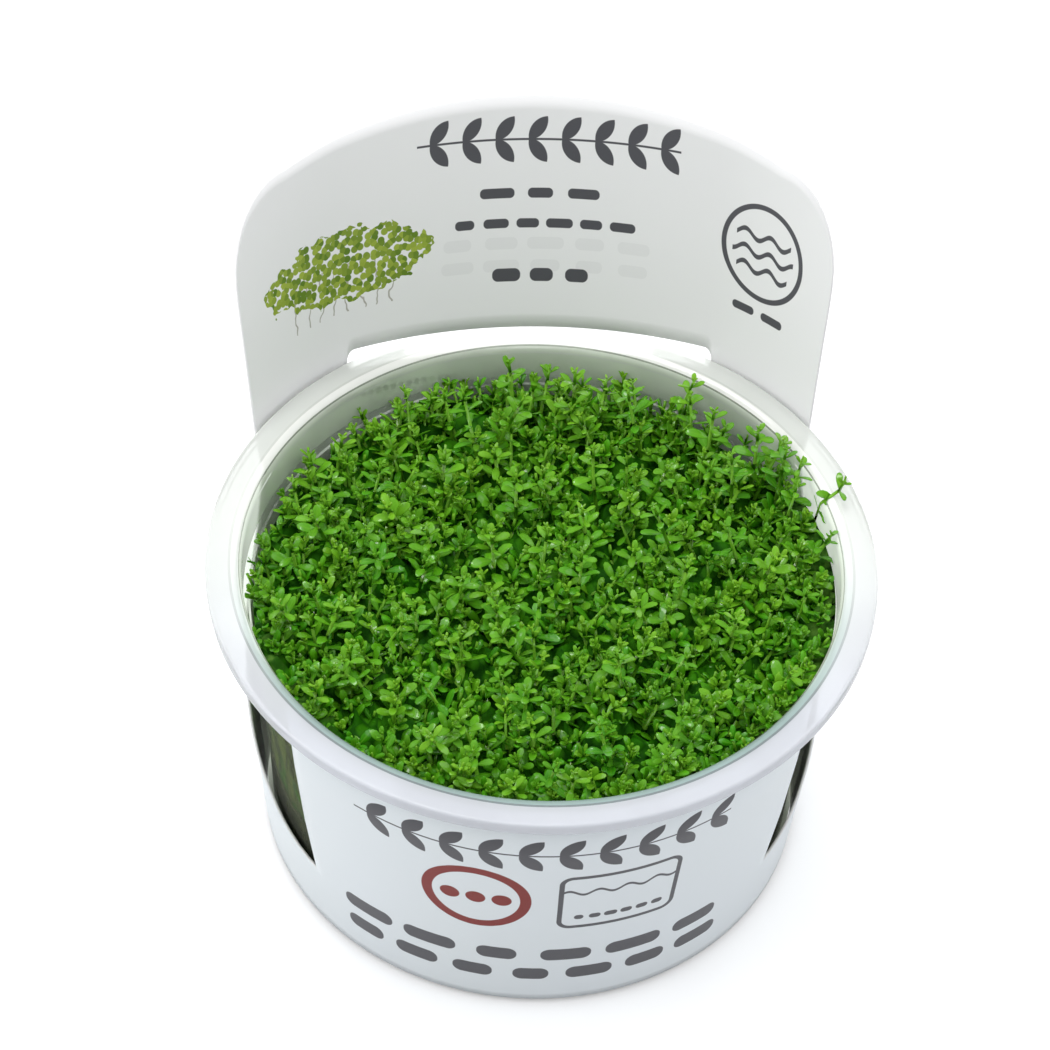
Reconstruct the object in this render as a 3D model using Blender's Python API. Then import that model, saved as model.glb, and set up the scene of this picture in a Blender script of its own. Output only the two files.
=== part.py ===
"""A tub of dwarf baby tears: a clear tapered cup with a flange, a die-cut label round it that stands up
as a back panel, a layer of growing gel, and a dense green mass of small shoots that fills the cup.

Units are metres, +Z is up, the origin is the middle of the cup's flat foot, and +Y is the back.
"""

import math
import random

import bmesh
import bpy
from mathutils import Matrix, Vector
from mathutils.bvhtree import BVHTree

# The cup
CUP_HEIGHT = 0.0520
FLANGE_RADIUS = 0.0475
FLANGE_THICKNESS = 0.0009
LIP_DROP = 0.0018
LIP_THICKNESS = 0.0008
WALL = 0.0007
FLOOR = 0.0008
FOOT_RADIUS = 0.0386
WALL_RADIUS_LOW = 0.0396
WALL_RADIUS_AT_STEP = 0.0420
WALL_RADIUS_TOP = 0.0431
STEP_HEIGHT = 0.0444
STEP_RISE = 0.0010
LEAD_IN = 0.0014
FOOT_ROUNDING = 0.0008
RIM_ROUNDING = 0.0003
CUP_SEGMENTS = 48

# The label: positions on the flat card are s, the distance from its middle line, and its height
CARD = 0.0004
CARD_BOTTOM = 0.0010
SLEEVE_RADIUS_LOW = 0.0401
SLEEVE_SLOPE = 0.075
SLEEVE_TOP = 0.0499
RELEASE_HEIGHT = 0.0160
CREASE_HEIGHT = 0.0500
CREASE_RADIUS = 0.0480
CREASE_MIDDLE = 0.0439
CREASE_FLAT_RADIUS = 0.0770
PANEL_TOP_LEVEL = 0.0940
PANEL_TOP_MIDDLE = 0.0599
PANEL_TOP_RADIUS = 0.0766
PANEL_APEX = 0.0877
PANEL_HALF_WIDTH = 0.0480
PANEL_CORNER_LEVEL = 0.0712
PANEL_CORNER_RADIUS = 0.0105
PANEL_DOME_RADIUS = 0.1650
PANEL_NARROWING = 0.0016
NARROWING_FROM = 0.0690
NARROWING_TO = 0.0350
NARROWING_FADES_AT = 0.0600
PANEL_LOWER_THIRD = 0.0615
SLOT_LOW = 0.0498
SLOT_HIGH = 0.0532
SLOT_HALF_LENGTH = 0.0272
SLOT_ROUNDING = 0.0012
BIB_EDGE = 0.0926
BIB_EDGE_TOP_INSET = 0.0024
BIB_SPRING = 0.0005
BIB_SPRING_WIDTH = 0.0160
BAND_AT_PANEL = 0.0460
BAND_AT_BIB = 0.0135
BAND_SWEEP = 1.7

# The gel and the plants
GAP = 0.0003
GEL_TOP = 0.0160
GEL_CREEP = 0.0010
GEL_SEGMENTS = 40
MAT_TOP = 0.0462
MAT_RELIEF = 0.0015
MAT_SCATTER = 0.0006
MAT_EDGE_DROP = 0.0034
MAT_BACK_RISE = 0.0008
MAT_RINGS = 12
SHOOT_COUNT = 38
SHOOT_SPREAD = 0.0365
STEM = 0.0006
FIRST_LEAVES = (0.0022, 0.0030)
NODE_HEIGHT = 0.0004
LEAF_SPACING = (0.0014, 0.0021)
MOST_LEAN = 8
LEAF_LENGTH = 0.0032
LEAF_WIDTH = 0.0017
SEED = 11

SLEEVE_TURN = SLEEVE_RADIUS_LOW + SLEEVE_SLOPE * RELEASE_HEIGHT
HALF_TURN = math.pi * SLEEVE_TURN


def clear_scene():
    for obj in list(bpy.data.objects):
        bpy.data.objects.remove(obj)


def finish(name, colour, roughness, alpha=1.0, transmission=0.0):
    """A material of one colour."""
    material = bpy.data.materials.new(name)
    material.use_nodes = True
    shader = material.node_tree.nodes["Principled BSDF"]
    shader.inputs["Base Color"].default_value = (*colour, 1.0)
    shader.inputs["Roughness"].default_value = roughness
    shader.inputs["Metallic"].default_value = 0.0
    shader.inputs["Alpha"].default_value = alpha
    shader.inputs["Transmission Weight"].default_value = transmission
    return material


def add_object(name, bm, material, smooth_angle=None):
    """Turns a bmesh into a named object."""
    mesh = bpy.data.meshes.new(name)
    bm.to_mesh(mesh)
    bm.free()
    mesh.materials.append(material)
    if smooth_angle is not None:
        mesh.shade_smooth()
        mesh.set_sharp_from_angle(angle=math.radians(smooth_angle))
    obj = bpy.data.objects.new(name, mesh)
    bpy.context.scene.collection.objects.link(obj)
    return obj


def turned(profile, segments):
    """A solid of revolution from an outline that starts and ends on the Z axis."""
    bm = bmesh.new()
    corners = [bm.verts.new((radius, 0.0, height)) for radius, height in profile]
    edges = [bm.edges.new(pair) for pair in zip(corners, corners[1:])]
    bmesh.ops.spin(
        bm, geom=corners + edges, cent=(0, 0, 0), axis=(0, 0, 1),
        angle=2 * math.pi, steps=segments, use_merge=True,
    )
    bmesh.ops.remove_doubles(bm, verts=bm.verts, dist=1e-6)
    bmesh.ops.recalc_face_normals(bm, faces=bm.faces)
    return bm


def wall_inside(height):
    """The inner radius of the cup below its step."""
    share = (height - FLOOR) / (STEP_HEIGHT - FLOOR)
    low = WALL_RADIUS_LOW - WALL
    return low + (WALL_RADIUS_AT_STEP - WALL - low) * share


def make_cup():
    """A thin wall that tapers to a flat foot, with a step for stacking and a flange with a turned-down lip."""
    top = CUP_HEIGHT
    inner_top = WALL_RADIUS_TOP - WALL
    outer = [
        (0.0, 0.0),
        (FOOT_RADIUS, 0.0),
        (WALL_RADIUS_LOW - FOOT_ROUNDING / 4, FOOT_ROUNDING),
        (WALL_RADIUS_LOW, 3 * FOOT_ROUNDING),
        (WALL_RADIUS_AT_STEP, STEP_HEIGHT),
        (WALL_RADIUS_TOP - 0.0001, STEP_HEIGHT + STEP_RISE),
        (WALL_RADIUS_TOP, top - FLANGE_THICKNESS),
        (FLANGE_RADIUS - LIP_THICKNESS, top - FLANGE_THICKNESS),
        (FLANGE_RADIUS - LIP_THICKNESS, top - LIP_DROP),
        (FLANGE_RADIUS, top - LIP_DROP),
        (FLANGE_RADIUS, top - RIM_ROUNDING),
        (FLANGE_RADIUS - RIM_ROUNDING, top),
    ]
    inner = [
        (inner_top + LEAD_IN, top),
        (inner_top + 0.3 * LEAD_IN, top - 0.3 * LEAD_IN),
        (inner_top, top - LEAD_IN),
        (inner_top - 0.0001, STEP_HEIGHT + 0.8 * STEP_RISE),
        (WALL_RADIUS_AT_STEP - WALL, STEP_HEIGHT),
        (WALL_RADIUS_LOW - WALL, FLOOR + 2 * FOOT_ROUNDING),
        (FOOT_RADIUS - WALL, FLOOR),
        (0.0, FLOOR),
    ]
    bm = turned(outer + inner, CUP_SEGMENTS)
    clear = finish("clear_plastic", (0.90, 0.93, 0.92), 0.08, alpha=0.35, transmission=1.0)
    return add_object("cup", bm, clear, smooth_angle=35)


def sleeve_point(s, height):
    """The card where it is wrapped round the cup; the bib's cut sides spring out a little."""
    angle = s / SLEEVE_TURN
    radius = SLEEVE_RADIUS_LOW + SLEEVE_SLOPE * height
    from_side = 1 - abs(abs(s) - BIB_EDGE) / BIB_SPRING_WIDTH
    above_band = max(0.0, height - BAND_AT_BIB) / (SLEEVE_TOP - BAND_AT_BIB)
    radius += BIB_SPRING * max(0.0, from_side) ** 2 * math.sin(math.pi * min(1.0, above_band))
    return Vector((radius * math.sin(angle), radius * math.cos(angle), height))


def crease_point(s):
    """The card level with the flange: nearly flat behind the wall, then round the flange's edge."""
    centre = CREASE_MIDDLE - CREASE_FLAT_RADIUS
    y = (CREASE_RADIUS**2 - CREASE_FLAT_RADIUS**2 + centre**2) / (2 * centre)
    x = math.sqrt(CREASE_RADIUS**2 - y**2)
    flat_length = CREASE_FLAT_RADIUS * math.asin(x / CREASE_FLAT_RADIUS)
    side = math.copysign(1.0, s)
    if abs(s) <= flat_length:
        turn = abs(s) / CREASE_FLAT_RADIUS
        across = CREASE_FLAT_RADIUS * math.sin(turn)
        return Vector((side * across, centre + CREASE_FLAT_RADIUS * math.cos(turn), CREASE_HEIGHT))
    angle = math.atan2(x, y) + (abs(s) - flat_length) / CREASE_RADIUS
    across = CREASE_RADIUS * math.sin(angle)
    return Vector((side * across, CREASE_RADIUS * math.cos(angle), CREASE_HEIGHT))


def panel_point(s):
    """The card at the level above the panel's top to which it leans back."""
    turn = s / PANEL_TOP_RADIUS
    back = PANEL_TOP_MIDDLE - PANEL_TOP_RADIUS * (1 - math.cos(turn))
    return Vector((PANEL_TOP_RADIUS * math.sin(turn), back, PANEL_TOP_LEVEL))


def narrowed(s, height):
    """The panel's sides come together a little on the way down."""
    below = (NARROWING_FROM - height) / (NARROWING_FROM - NARROWING_TO)
    full = PANEL_NARROWING * min(1.0, max(0.0, below))
    beyond = (NARROWING_FADES_AT - abs(s)) / (NARROWING_FADES_AT - PANEL_HALF_WIDTH)
    fade = min(1.0, max(0.0, beyond))
    if abs(s) <= PANEL_HALF_WIDTH:
        return s * (1 - full / PANEL_HALF_WIDTH)
    return s - math.copysign(full * fade, s)


def on_card(s, height):
    """Bends a point of the flat card to its place."""
    if abs(s) > BIB_EDGE - 1e-6:
        above_band = max(0.0, height - BAND_AT_BIB) / (SLEEVE_TOP - BAND_AT_BIB)
        share = (HALF_TURN - abs(s)) / (HALF_TURN - BIB_EDGE)
        return sleeve_point(s - math.copysign(BIB_EDGE_TOP_INSET * above_band * share, s), height)
    if height <= RELEASE_HEIGHT:
        return sleeve_point(s, height)
    s = narrowed(s, height)
    if height <= CREASE_HEIGHT:
        share = (height - RELEASE_HEIGHT) / (CREASE_HEIGHT - RELEASE_HEIGHT)
        return sleeve_point(s, RELEASE_HEIGHT).lerp(crease_point(s), share)
    share = (height - CREASE_HEIGHT) / (PANEL_TOP_LEVEL - CREASE_HEIGHT)
    return crease_point(s).lerp(panel_point(s), share)


def panel_edge(s):
    """The height of the panel's domed top, with its rounded corners."""
    s = abs(s)
    corner = PANEL_HALF_WIDTH - PANEL_CORNER_RADIUS
    dome = PANEL_APEX - (PANEL_DOME_RADIUS - math.sqrt(PANEL_DOME_RADIUS**2 - min(s, corner)**2))
    if s <= corner:
        return dome
    across = min(1.0, (s - corner) / PANEL_CORNER_RADIUS)
    return PANEL_CORNER_LEVEL + (dome - PANEL_CORNER_LEVEL) * math.sqrt(1 - across**2)


def band_edge(s):
    """The upper edge of the low band, which sweeps up from the front to the panel's side."""
    share = (BIB_EDGE - abs(s)) / (BIB_EDGE - PANEL_HALF_WIDTH)
    share = min(1.0, max(0.0, share))
    rise = 1 - (1 - share**BAND_SWEEP) ** (1 / BAND_SWEEP)
    return BAND_AT_BIB + (BAND_AT_PANEL - BAND_AT_BIB) * rise


def card_columns():
    """Distances from the card's middle line at which it gets a column of corners."""
    slot_end = [SLOT_HALF_LENGTH + SLOT_ROUNDING * share for share in (0, 0.67, 1)]
    corner = PANEL_HALF_WIDTH - PANEL_CORNER_RADIUS
    between = (SLOT_HALF_LENGTH + corner) / 2
    turns = [corner + PANEL_CORNER_RADIUS * math.sin(math.radians(a)) for a in (0, 25, 45, 62, 78, 90)]
    middle = [SLOT_HALF_LENGTH * share / 6 for share in range(6)]
    notch_length = BIB_EDGE - PANEL_HALF_WIDTH
    notch = [PANEL_HALF_WIDTH + notch_length * (share / 9) ** 2 for share in range(1, 10)]
    bib_length = HALF_TURN - BIB_EDGE
    bib = [BIB_EDGE + bib_length * share / 6 for share in range(1, 7)]
    half = middle + slot_end + [between] + turns + notch + bib
    return [-s for s in reversed(half[1:])] + half


def card_rows(s):
    """The heights of one column's corners, from the bottom edge up."""
    beyond = (abs(s) - SLOT_HALF_LENGTH) / SLOT_ROUNDING
    opening = math.sqrt(max(0.0, 1 - max(0.0, beyond) ** 2))
    slot_middle = (SLOT_LOW + SLOT_HIGH) / 2
    slot_half = (SLOT_HIGH - SLOT_LOW) / 2 * opening
    if abs(s) > BIB_EDGE - 1e-6:
        return [CARD_BOTTOM, BAND_AT_BIB / 2, BAND_AT_BIB] + [SLEEVE_TOP] * 6
    if abs(s) > PANEL_HALF_WIDTH + 1e-6:
        return [CARD_BOTTOM, band_edge(s) / 2, band_edge(s)] + [CREASE_HEIGHT] * 6
    top = panel_edge(s)
    shoulder = min(PANEL_CORNER_LEVEL, top)
    return [
        CARD_BOTTOM, RELEASE_HEIGHT, BAND_AT_PANEL, slot_middle - slot_half, slot_middle + slot_half,
        PANEL_LOWER_THIRD, shoulder, (shoulder + top) / 2, top,
    ]


def cut_away(s_left, s_right, row):
    """True where the flat card has no material: the side notches, the slot, and above the front."""
    middle = abs(s_left + s_right) / 2
    in_slot = row == 3 and middle < SLOT_HALF_LENGTH + SLOT_ROUNDING
    in_notch = row >= 2 and PANEL_HALF_WIDTH < middle < BIB_EDGE
    above_front = row >= 3 and middle > BIB_EDGE
    return in_slot or in_notch or above_front


def make_label():
    """One sheet of card: a band round the foot, a bib up the front, and the panel behind with its slot."""
    columns = card_columns()
    last_row = len(card_rows(0.0)) - 1
    bm = bmesh.new()
    grid = bmesh.ops.create_grid(bm, x_segments=len(columns) - 1, y_segments=last_row, size=1.0)
    place = {}
    for vert in grid["verts"]:
        column = round((vert.co.x + 1) / 2 * (len(columns) - 1))
        row = round((vert.co.y + 1) / 2 * last_row)
        place[vert] = (column, row)
    unwanted = []
    for face in bm.faces:
        column = min(place[vert][0] for vert in face.verts)
        row = min(place[vert][1] for vert in face.verts)
        if cut_away(columns[column], columns[column + 1], row):
            unwanted.append(face)
    for vert, (column, row) in place.items():
        s = columns[column]
        vert.co = on_card(s, card_rows(s)[row])
    bmesh.ops.delete(bm, geom=unwanted, context="FACES")
    bmesh.ops.remove_doubles(bm, verts=bm.verts, dist=1e-6)
    bmesh.ops.recalc_face_normals(bm, faces=bm.faces)
    white = finish("white_card", (0.82, 0.84, 0.88), 0.45)
    label = add_object("label", bm, white, smooth_angle=40)
    thickness = label.modifiers.new("card_thickness", "SOLIDIFY")
    thickness.thickness = CARD
    thickness.offset = 0.0
    thickness.use_even_offset = True
    return label


def make_gel():
    """The set jelly that the roots grow in; its top creeps up a little where it meets the wall."""
    base = FLOOR + GAP
    foot_top = FLOOR + 3 * FOOT_ROUNDING
    profile = [
        (0.0, base),
        (FOOT_RADIUS - WALL - 2 * GAP, base),
        (wall_inside(foot_top) - GAP, foot_top),
        (wall_inside(GEL_TOP) - GAP, GEL_TOP),
        (wall_inside(GEL_TOP) - 2 * GEL_CREEP, GEL_TOP - GEL_CREEP),
        (0.0, GEL_TOP - GEL_CREEP),
    ]
    jelly = finish("growing_gel", (0.10, 0.12, 0.05), 0.25)
    return add_object("growing_gel", turned(profile, GEL_SEGMENTS), jelly, smooth_angle=40)


def mat_level(x, y):
    """The mat's mean level: it drops towards the wall and rises a little to the back."""
    edge = math.hypot(x, y) / wall_inside(MAT_TOP)
    return MAT_TOP - MAT_EDGE_DROP * edge**6 + MAT_BACK_RISE * y / wall_inside(MAT_TOP)


def even_disc(radius, rings):
    """A flat disc of even triangles: a hexagon's lattice, its six sides pushed out to a circle."""
    bm = bmesh.new()
    bmesh.ops.create_circle(bm, cap_ends=True, cap_tris=True, segments=6, radius=radius)
    bmesh.ops.subdivide_edges(bm, edges=bm.edges, cuts=rings - 1, use_grid_fill=True)
    sixth = math.pi / 3
    for vert in bm.verts:
        if vert.co.length > 0:
            from_side = (math.atan2(vert.co.y, vert.co.x) - sixth / 2) % sixth - sixth / 2
            vert.co *= math.cos(from_side) / math.cos(sixth / 2)
    return bm


def even_spiral(count, spread):
    """Places spread evenly over a disc, from its middle out."""
    golden = math.pi * (3 - math.sqrt(5))
    for index in range(count):
        radius = spread * math.sqrt((index + 0.6) / count)
        yield Vector((radius * math.cos(index * golden), radius * math.sin(index * golden)))


def make_mat(rng):
    """The tangle of stems and leaves below the tips, with a rough top of leaf-sized lumps.

    Gives back its surface and the dips in it from which the standing shoots rise.
    """
    base = GEL_TOP + GAP
    rim_radius = wall_inside(MAT_TOP - MAT_EDGE_DROP) - 2 * GAP
    bm = even_disc(rim_radius, MAT_RINGS)
    inner = [vert for vert in bm.verts if not vert.is_boundary]
    wanted = list(even_spiral(SHOOT_COUNT, SHOOT_SPREAD))
    roots = [min(inner, key=lambda vert: (vert.co.xy - place).length) for place in wanted]
    for vert in bm.verts:
        vert.co.z = mat_level(vert.co.x, vert.co.y)
    for vert in inner:
        relief = -1.0 if vert in roots else rng.choice((-1.0, -0.5, 0.4, 1.0))
        scatter = (rng.uniform(-MAT_SCATTER, MAT_SCATTER), rng.uniform(-MAT_SCATTER, MAT_SCATTER))
        vert.co += Vector((*scatter, MAT_RELIEF * relief))
    dips = [vert.co.copy() for vert in roots]
    side = [edge for edge in bm.edges if edge.is_boundary]
    walls = bmesh.ops.extrude_edge_only(bm, edges=side)
    low = [item for item in walls["geom"] if isinstance(item, bmesh.types.BMVert)]
    narrow = (wall_inside(base) - 2 * GAP) / rim_radius
    for vert in low:
        vert.co = Vector((vert.co.x * narrow, vert.co.y * narrow, base))
    low.sort(key=lambda vert: math.atan2(vert.co.y, vert.co.x))
    bm.faces.new(low)
    bmesh.ops.triangulate(bm, faces=bm.faces)
    bmesh.ops.recalc_face_normals(bm, faces=bm.faces)
    surface = BVHTree.FromBMesh(bm)
    green = finish("leaf_mat", (0.10, 0.28, 0.03), 0.55)
    add_object("plant_mat", bm, green)
    return surface, dips


def highest(surface, x, y, reach):
    """The highest point of the mat within a reach of a place."""
    levels = [surface.ray_cast(Vector((x, y, 2 * CUP_HEIGHT)), Vector((0, 0, -1)))[0].z]
    for turn in range(0, 360, 30):
        for share in (0.5, 1.0):
            side = Vector((reach * share, 0, 0)) @ Matrix.Rotation(math.radians(turn), 3, "Z")
            start = Vector((x, y, 2 * CUP_HEIGHT)) + side
            hit = surface.ray_cast(start, Vector((0, 0, -1)))[0]
            if hit is not None:
                levels.append(hit.z)
    return max(levels)


def grow(bm, face, steps):
    """Draws a face out into a leaf or a stem: each step is a move, and a scale across and through."""
    for move, across, through in steps:
        drawn = bmesh.ops.extrude_discrete_faces(bm, faces=[face])
        face = drawn["faces"][0]
        centre = face.calc_center_median()
        side = Vector((-move.y, move.x, 0))
        for vert in face.verts:
            offset = vert.co - centre
            if side.length > 0:
                along = side.normalized()
                sideways = along * offset.dot(along)
                offset = sideways * across + (offset - sideways) * through
            else:
                offset = offset * across
            vert.co = centre + offset + move
    return face


def make_shoot(name, place, surface, material, rng):
    """A square stem with crossed pairs of spoon-shaped leaves and a bud."""
    foot = highest(surface, place.x, place.y, STEM) + GAP
    clear = highest(surface, place.x, place.y, LEAF_LENGTH + STEM) - foot + 0.8 * MAT_SCATTER
    first_leaves = max(clear + GAP, rng.uniform(*FIRST_LEAVES))
    pairs = 3 if place.y + place.x > SHOOT_SPREAD / 2 else 2
    bm = bmesh.new()
    bmesh.ops.create_grid(bm, x_segments=1, y_segments=1, size=STEM / 2)
    bmesh.ops.reverse_faces(bm, faces=bm.faces)
    stem = bmesh.ops.extrude_face_region(bm, geom=list(bm.faces), use_keep_orig=True)
    top = next(item for item in stem["geom"] if isinstance(item, bmesh.types.BMFace))
    top.normal_flip()
    bmesh.ops.translate(bm, vec=(0, 0, first_leaves), verts=top.verts)
    for level in range(pairs):
        top = grow(bm, top, [(Vector((0, 0, NODE_HEIGHT)), 1.0, 1.0)])
        bm.normal_update()
        sides = [face for face in bm.faces if is_side_of(face, top, level % 2)]
        size = (1.0 - 0.09 * level) * rng.uniform(0.9, 1.0)
        for face in sides:
            add_leaf(bm, face, size, rng.uniform(0.10, 0.45))
        top = grow(bm, top, [(Vector((0, 0, rng.uniform(*LEAF_SPACING))), 0.93, 1.0)])
    add_bud(bm, top)
    lean = [math.radians(rng.uniform(-MOST_LEAN, MOST_LEAN)) for axis in "XY"]
    turn = Matrix.Rotation(rng.uniform(0, math.pi), 4, "Z")
    tilt = Matrix.Rotation(lean[0], 4, "X") @ Matrix.Rotation(lean[1], 4, "Y")
    bmesh.ops.transform(bm, matrix=tilt @ turn, verts=bm.verts)
    bmesh.ops.translate(bm, vec=(place.x, place.y, foot), verts=bm.verts)
    bmesh.ops.recalc_face_normals(bm, faces=bm.faces)
    return add_object(name, bm, material)


def is_side_of(face, top, crossing):
    """True for the two opposite faces just below a stem's end from which a pair of leaves grows."""
    if face is top or not any(edge in top.edges for edge in face.edges):
        return False
    direction = face.normal
    if abs(direction.z) > 0.5:
        return False
    return abs(direction.y) > 0.7 if crossing else abs(direction.x) > 0.7


def add_leaf(bm, face, size, rise):
    """A leaf: narrow at the stem, widest past the middle, with a blunt tip that turns up."""
    out = face.normal.copy()
    out.z = 0
    out.normalize()
    reach = LEAF_LENGTH * size
    up = Vector((0, 0, reach * rise))
    widest = LEAF_WIDTH * size / STEM
    steps = [
        (out * reach * 0.62 + up * 0.5, widest, 0.8),
        (out * reach * 0.38 + up * 0.5, 0.42, 0.8),
    ]
    grow(bm, face, steps)


def add_bud(bm, top):
    """The growing tip: the stem's end drawn to a small knob."""
    steps = [
        (Vector((0, 0, 0.0005)), 1.5, 1.0),
        (Vector((0, 0, 0.0007)), 0.5, 1.0),
    ]
    grow(bm, top, steps)


def make_shoots(surface, dips, rng):
    """The separate shoots that stand above the mat."""
    fresh = finish("fresh_leaf", (0.22, 0.48, 0.05), 0.42)
    for index, place in enumerate(dips):
        make_shoot(f"shoot_{index + 1:02d}", place, surface, fresh, rng)


def main():
    clear_scene()
    rng = random.Random(SEED)
    make_cup()
    make_label()
    make_gel()
    surface, dips = make_mat(rng)
    make_shoots(surface, dips, rng)


main()
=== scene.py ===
# %% [markdown]
# # Dwarf baby tears in a growing tub
#
# The object is a clear thin plastic tub full of tiny green shoots, with a white printed card round it that
# stands up behind as a panel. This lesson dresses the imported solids: finer pieces in the same places stand
# for all of them. Lengths are metres unless a name ends in _mm.

# %% Load the frame
import math
import random

import bmesh
import bpy
from mathutils import Matrix, Vector


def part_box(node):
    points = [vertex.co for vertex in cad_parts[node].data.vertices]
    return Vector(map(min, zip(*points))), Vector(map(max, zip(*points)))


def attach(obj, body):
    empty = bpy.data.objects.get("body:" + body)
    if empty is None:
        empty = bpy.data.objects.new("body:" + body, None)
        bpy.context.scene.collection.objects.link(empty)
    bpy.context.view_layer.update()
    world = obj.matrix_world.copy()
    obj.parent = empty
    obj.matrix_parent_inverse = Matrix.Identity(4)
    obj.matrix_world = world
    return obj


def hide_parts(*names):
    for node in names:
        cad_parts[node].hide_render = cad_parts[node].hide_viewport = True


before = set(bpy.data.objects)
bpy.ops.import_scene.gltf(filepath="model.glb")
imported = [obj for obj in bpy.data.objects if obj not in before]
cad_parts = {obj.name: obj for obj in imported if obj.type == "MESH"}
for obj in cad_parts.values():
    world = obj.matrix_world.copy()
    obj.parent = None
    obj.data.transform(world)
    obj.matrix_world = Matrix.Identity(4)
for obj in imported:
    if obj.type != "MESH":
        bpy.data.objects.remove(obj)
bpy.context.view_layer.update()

# %% [markdown]
# ## Helpers for objects and nodes
#
# A material is a small tree of nodes. One helper fills inputs, whether with a constant or with a link, and
# one adds a node. The class Number lets a sum be written as plain arithmetic: each step adds the node that
# does it. The rest make the few kinds of node that come up again and again.

# %% Object and node helpers
FLOAT = "NodeSocketFloat"
VECTOR = "NodeSocketVector"
WHITE = (1.0, 1.0, 1.0)


def new_object(name, data):
    """An object of the scene, at the origin."""
    made = bpy.data.objects.new(name, data)
    bpy.context.scene.collection.objects.link(made)
    return made


def fill(tree, sockets, values):
    """Fills inputs with constants or with links."""
    for name, value in values.items():
        if isinstance(value, Number):
            value = value.socket
        if isinstance(value, bpy.types.NodeSocket):
            tree.links.new(value, sockets[name])
        else:
            sockets[name].default_value = value


def add(tree, kind, values=None, **options):
    """Adds a shader node, sets its options, fills its inputs and gives back its outputs."""
    node = tree.nodes.new("ShaderNode" + kind)
    for option, value in options.items():
        setattr(node, option, value)
    fill(tree, node.inputs, values or {})
    return node.outputs


class Number:
    """A number on a wire. Plain arithmetic with it adds the nodes that do the sum."""

    def __init__(self, tree, socket):
        self.tree = tree
        self.socket = socket

    def step(self, operation, *others):
        """One step of arithmetic, by the name of its operation."""
        values = dict(enumerate((self, *others)))
        return Number(self.tree, add(self.tree, "Math", values, operation=operation)[0])

    def __add__(self, other):
        return self.step("ADD", other)

    def __sub__(self, other):
        return self.step("SUBTRACT", other)

    def __rsub__(self, other):
        return self.step("MULTIPLY_ADD", -1.0, other)

    def __mul__(self, other):
        return self.step("MULTIPLY", other)

    def __truediv__(self, other):
        return self.step("DIVIDE", other)

    def __gt__(self, other):
        return self.step("GREATER_THAN", other)

    def __lt__(self, other):
        return self.step("LESS_THAN", other)

    def __abs__(self):
        return self.step("ABSOLUTE")

    def ramp(self, low, high):
        """0 below one level and 1 above another, smooth between."""
        values = {"Value": self, "From Min": low, "From Max": high}
        made = add(self.tree, "MapRange", values, interpolation_type="SMOOTHSTEP")
        return Number(self.tree, made["Result"])


def blend(tree, share, first, second, kind="MIX"):
    """A colour between two colours, or another mixture of them."""
    first, second = [(*colour, 1) if isinstance(colour, tuple) else colour for colour in (first, second)]
    return add(tree, "Mix", {0: share, 6: first, 7: second}, data_type="RGBA", blend_type=kind)[2]


def noise(tree, place, scale, detail=2.0):
    """Plain noise, from 0 to 1."""
    return Number(tree, add(tree, "TexNoise", {"Vector": place, "Scale": scale, "Detail": detail})["Fac"])


def strands(tree, place, squeeze, scale, detail):
    """Noise that is drawn out upwards."""
    drawn_out = add(tree, "Mapping", {"Vector": place, "Scale": (1.0, 1.0, squeeze)})[0]
    return noise(tree, drawn_out, scale, detail)


def split(tree, place):
    """The three parts of a place."""
    return [Number(tree, part) for part in add(tree, "SeparateXYZ", {0: place})]


def object_place(tree):
    """The place on the object, in metres."""
    return add(tree, "TexCoord")["Object"]


def new_group(name, inputs, outputs):
    """A group that takes a place and some numbers: its tree, those inputs, and the sockets it puts out."""
    group = bpy.data.node_groups.new(name, "ShaderNodeTree")
    group.interface.new_socket("Place", in_out="INPUT", socket_type=VECTOR)
    for label, start in inputs.items():
        socket = group.interface.new_socket(label, in_out="INPUT", socket_type=FLOAT)
        socket.default_value = start
    for label, kind in outputs.items():
        group.interface.new_socket(label, in_out="OUTPUT", socket_type=kind)
    given = group.nodes.new("NodeGroupInput").outputs
    numbers = [Number(group, given[label]) for label in inputs]
    return group, given["Place"], numbers, group.nodes.new("NodeGroupOutput").inputs


def use(tree, group, values):
    """Places a group in a tree and gives back its outputs."""
    return add(tree, "Group", values, node_tree=group)


def new_material(name):
    """A material with its tree and the inputs of its shader."""
    material = bpy.data.materials.new(name)
    material.use_nodes = True
    tree = material.node_tree
    return material, tree, tree.nodes["Principled BSDF"].inputs


print("object and node helpers ready")

# %% [markdown]
# ## Camera
#
# The picture looks down at the tub from the front and a little from its left, through a long lens, so the
# round rim is a neat ellipse and the sides hardly converge. A camera could be aimed by hand; here it is
# placed by the three directions of its view, which keeps its small roll.

# %% Place the camera
IMAGE_SIDE = 1050
FOCAL_PIXELS = 3200
SENSOR_MM = 36
NEAREST_SEEN, FARTHEST_SEEN = 0.01, 20
VIEW_RIGHT = Vector((0.9984, -0.0442, 0.0344))
VIEW_BACK = Vector((-0.0551, -0.6677, 0.7423))
CAMERA_PLACE = Vector((-0.0273, -0.2984, 0.3903))


def make_camera():
    """A camera from its right and backward directions, made square to each other."""
    back = VIEW_BACK.normalized()
    right = (VIEW_RIGHT - back * VIEW_RIGHT.dot(back)).normalized()
    lens = bpy.data.cameras.new("camera")
    lens.sensor_width = SENSOR_MM
    lens.lens = SENSOR_MM * FOCAL_PIXELS / IMAGE_SIDE
    lens.clip_start, lens.clip_end = NEAREST_SEEN, FARTHEST_SEEN
    camera = new_object("camera", lens)
    turn = Matrix((right, back.cross(right), back)).transposed().to_4x4()
    camera.matrix_world = Matrix.Translation(CAMERA_PLACE) @ turn
    bpy.context.scene.camera = camera
    return camera


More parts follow.
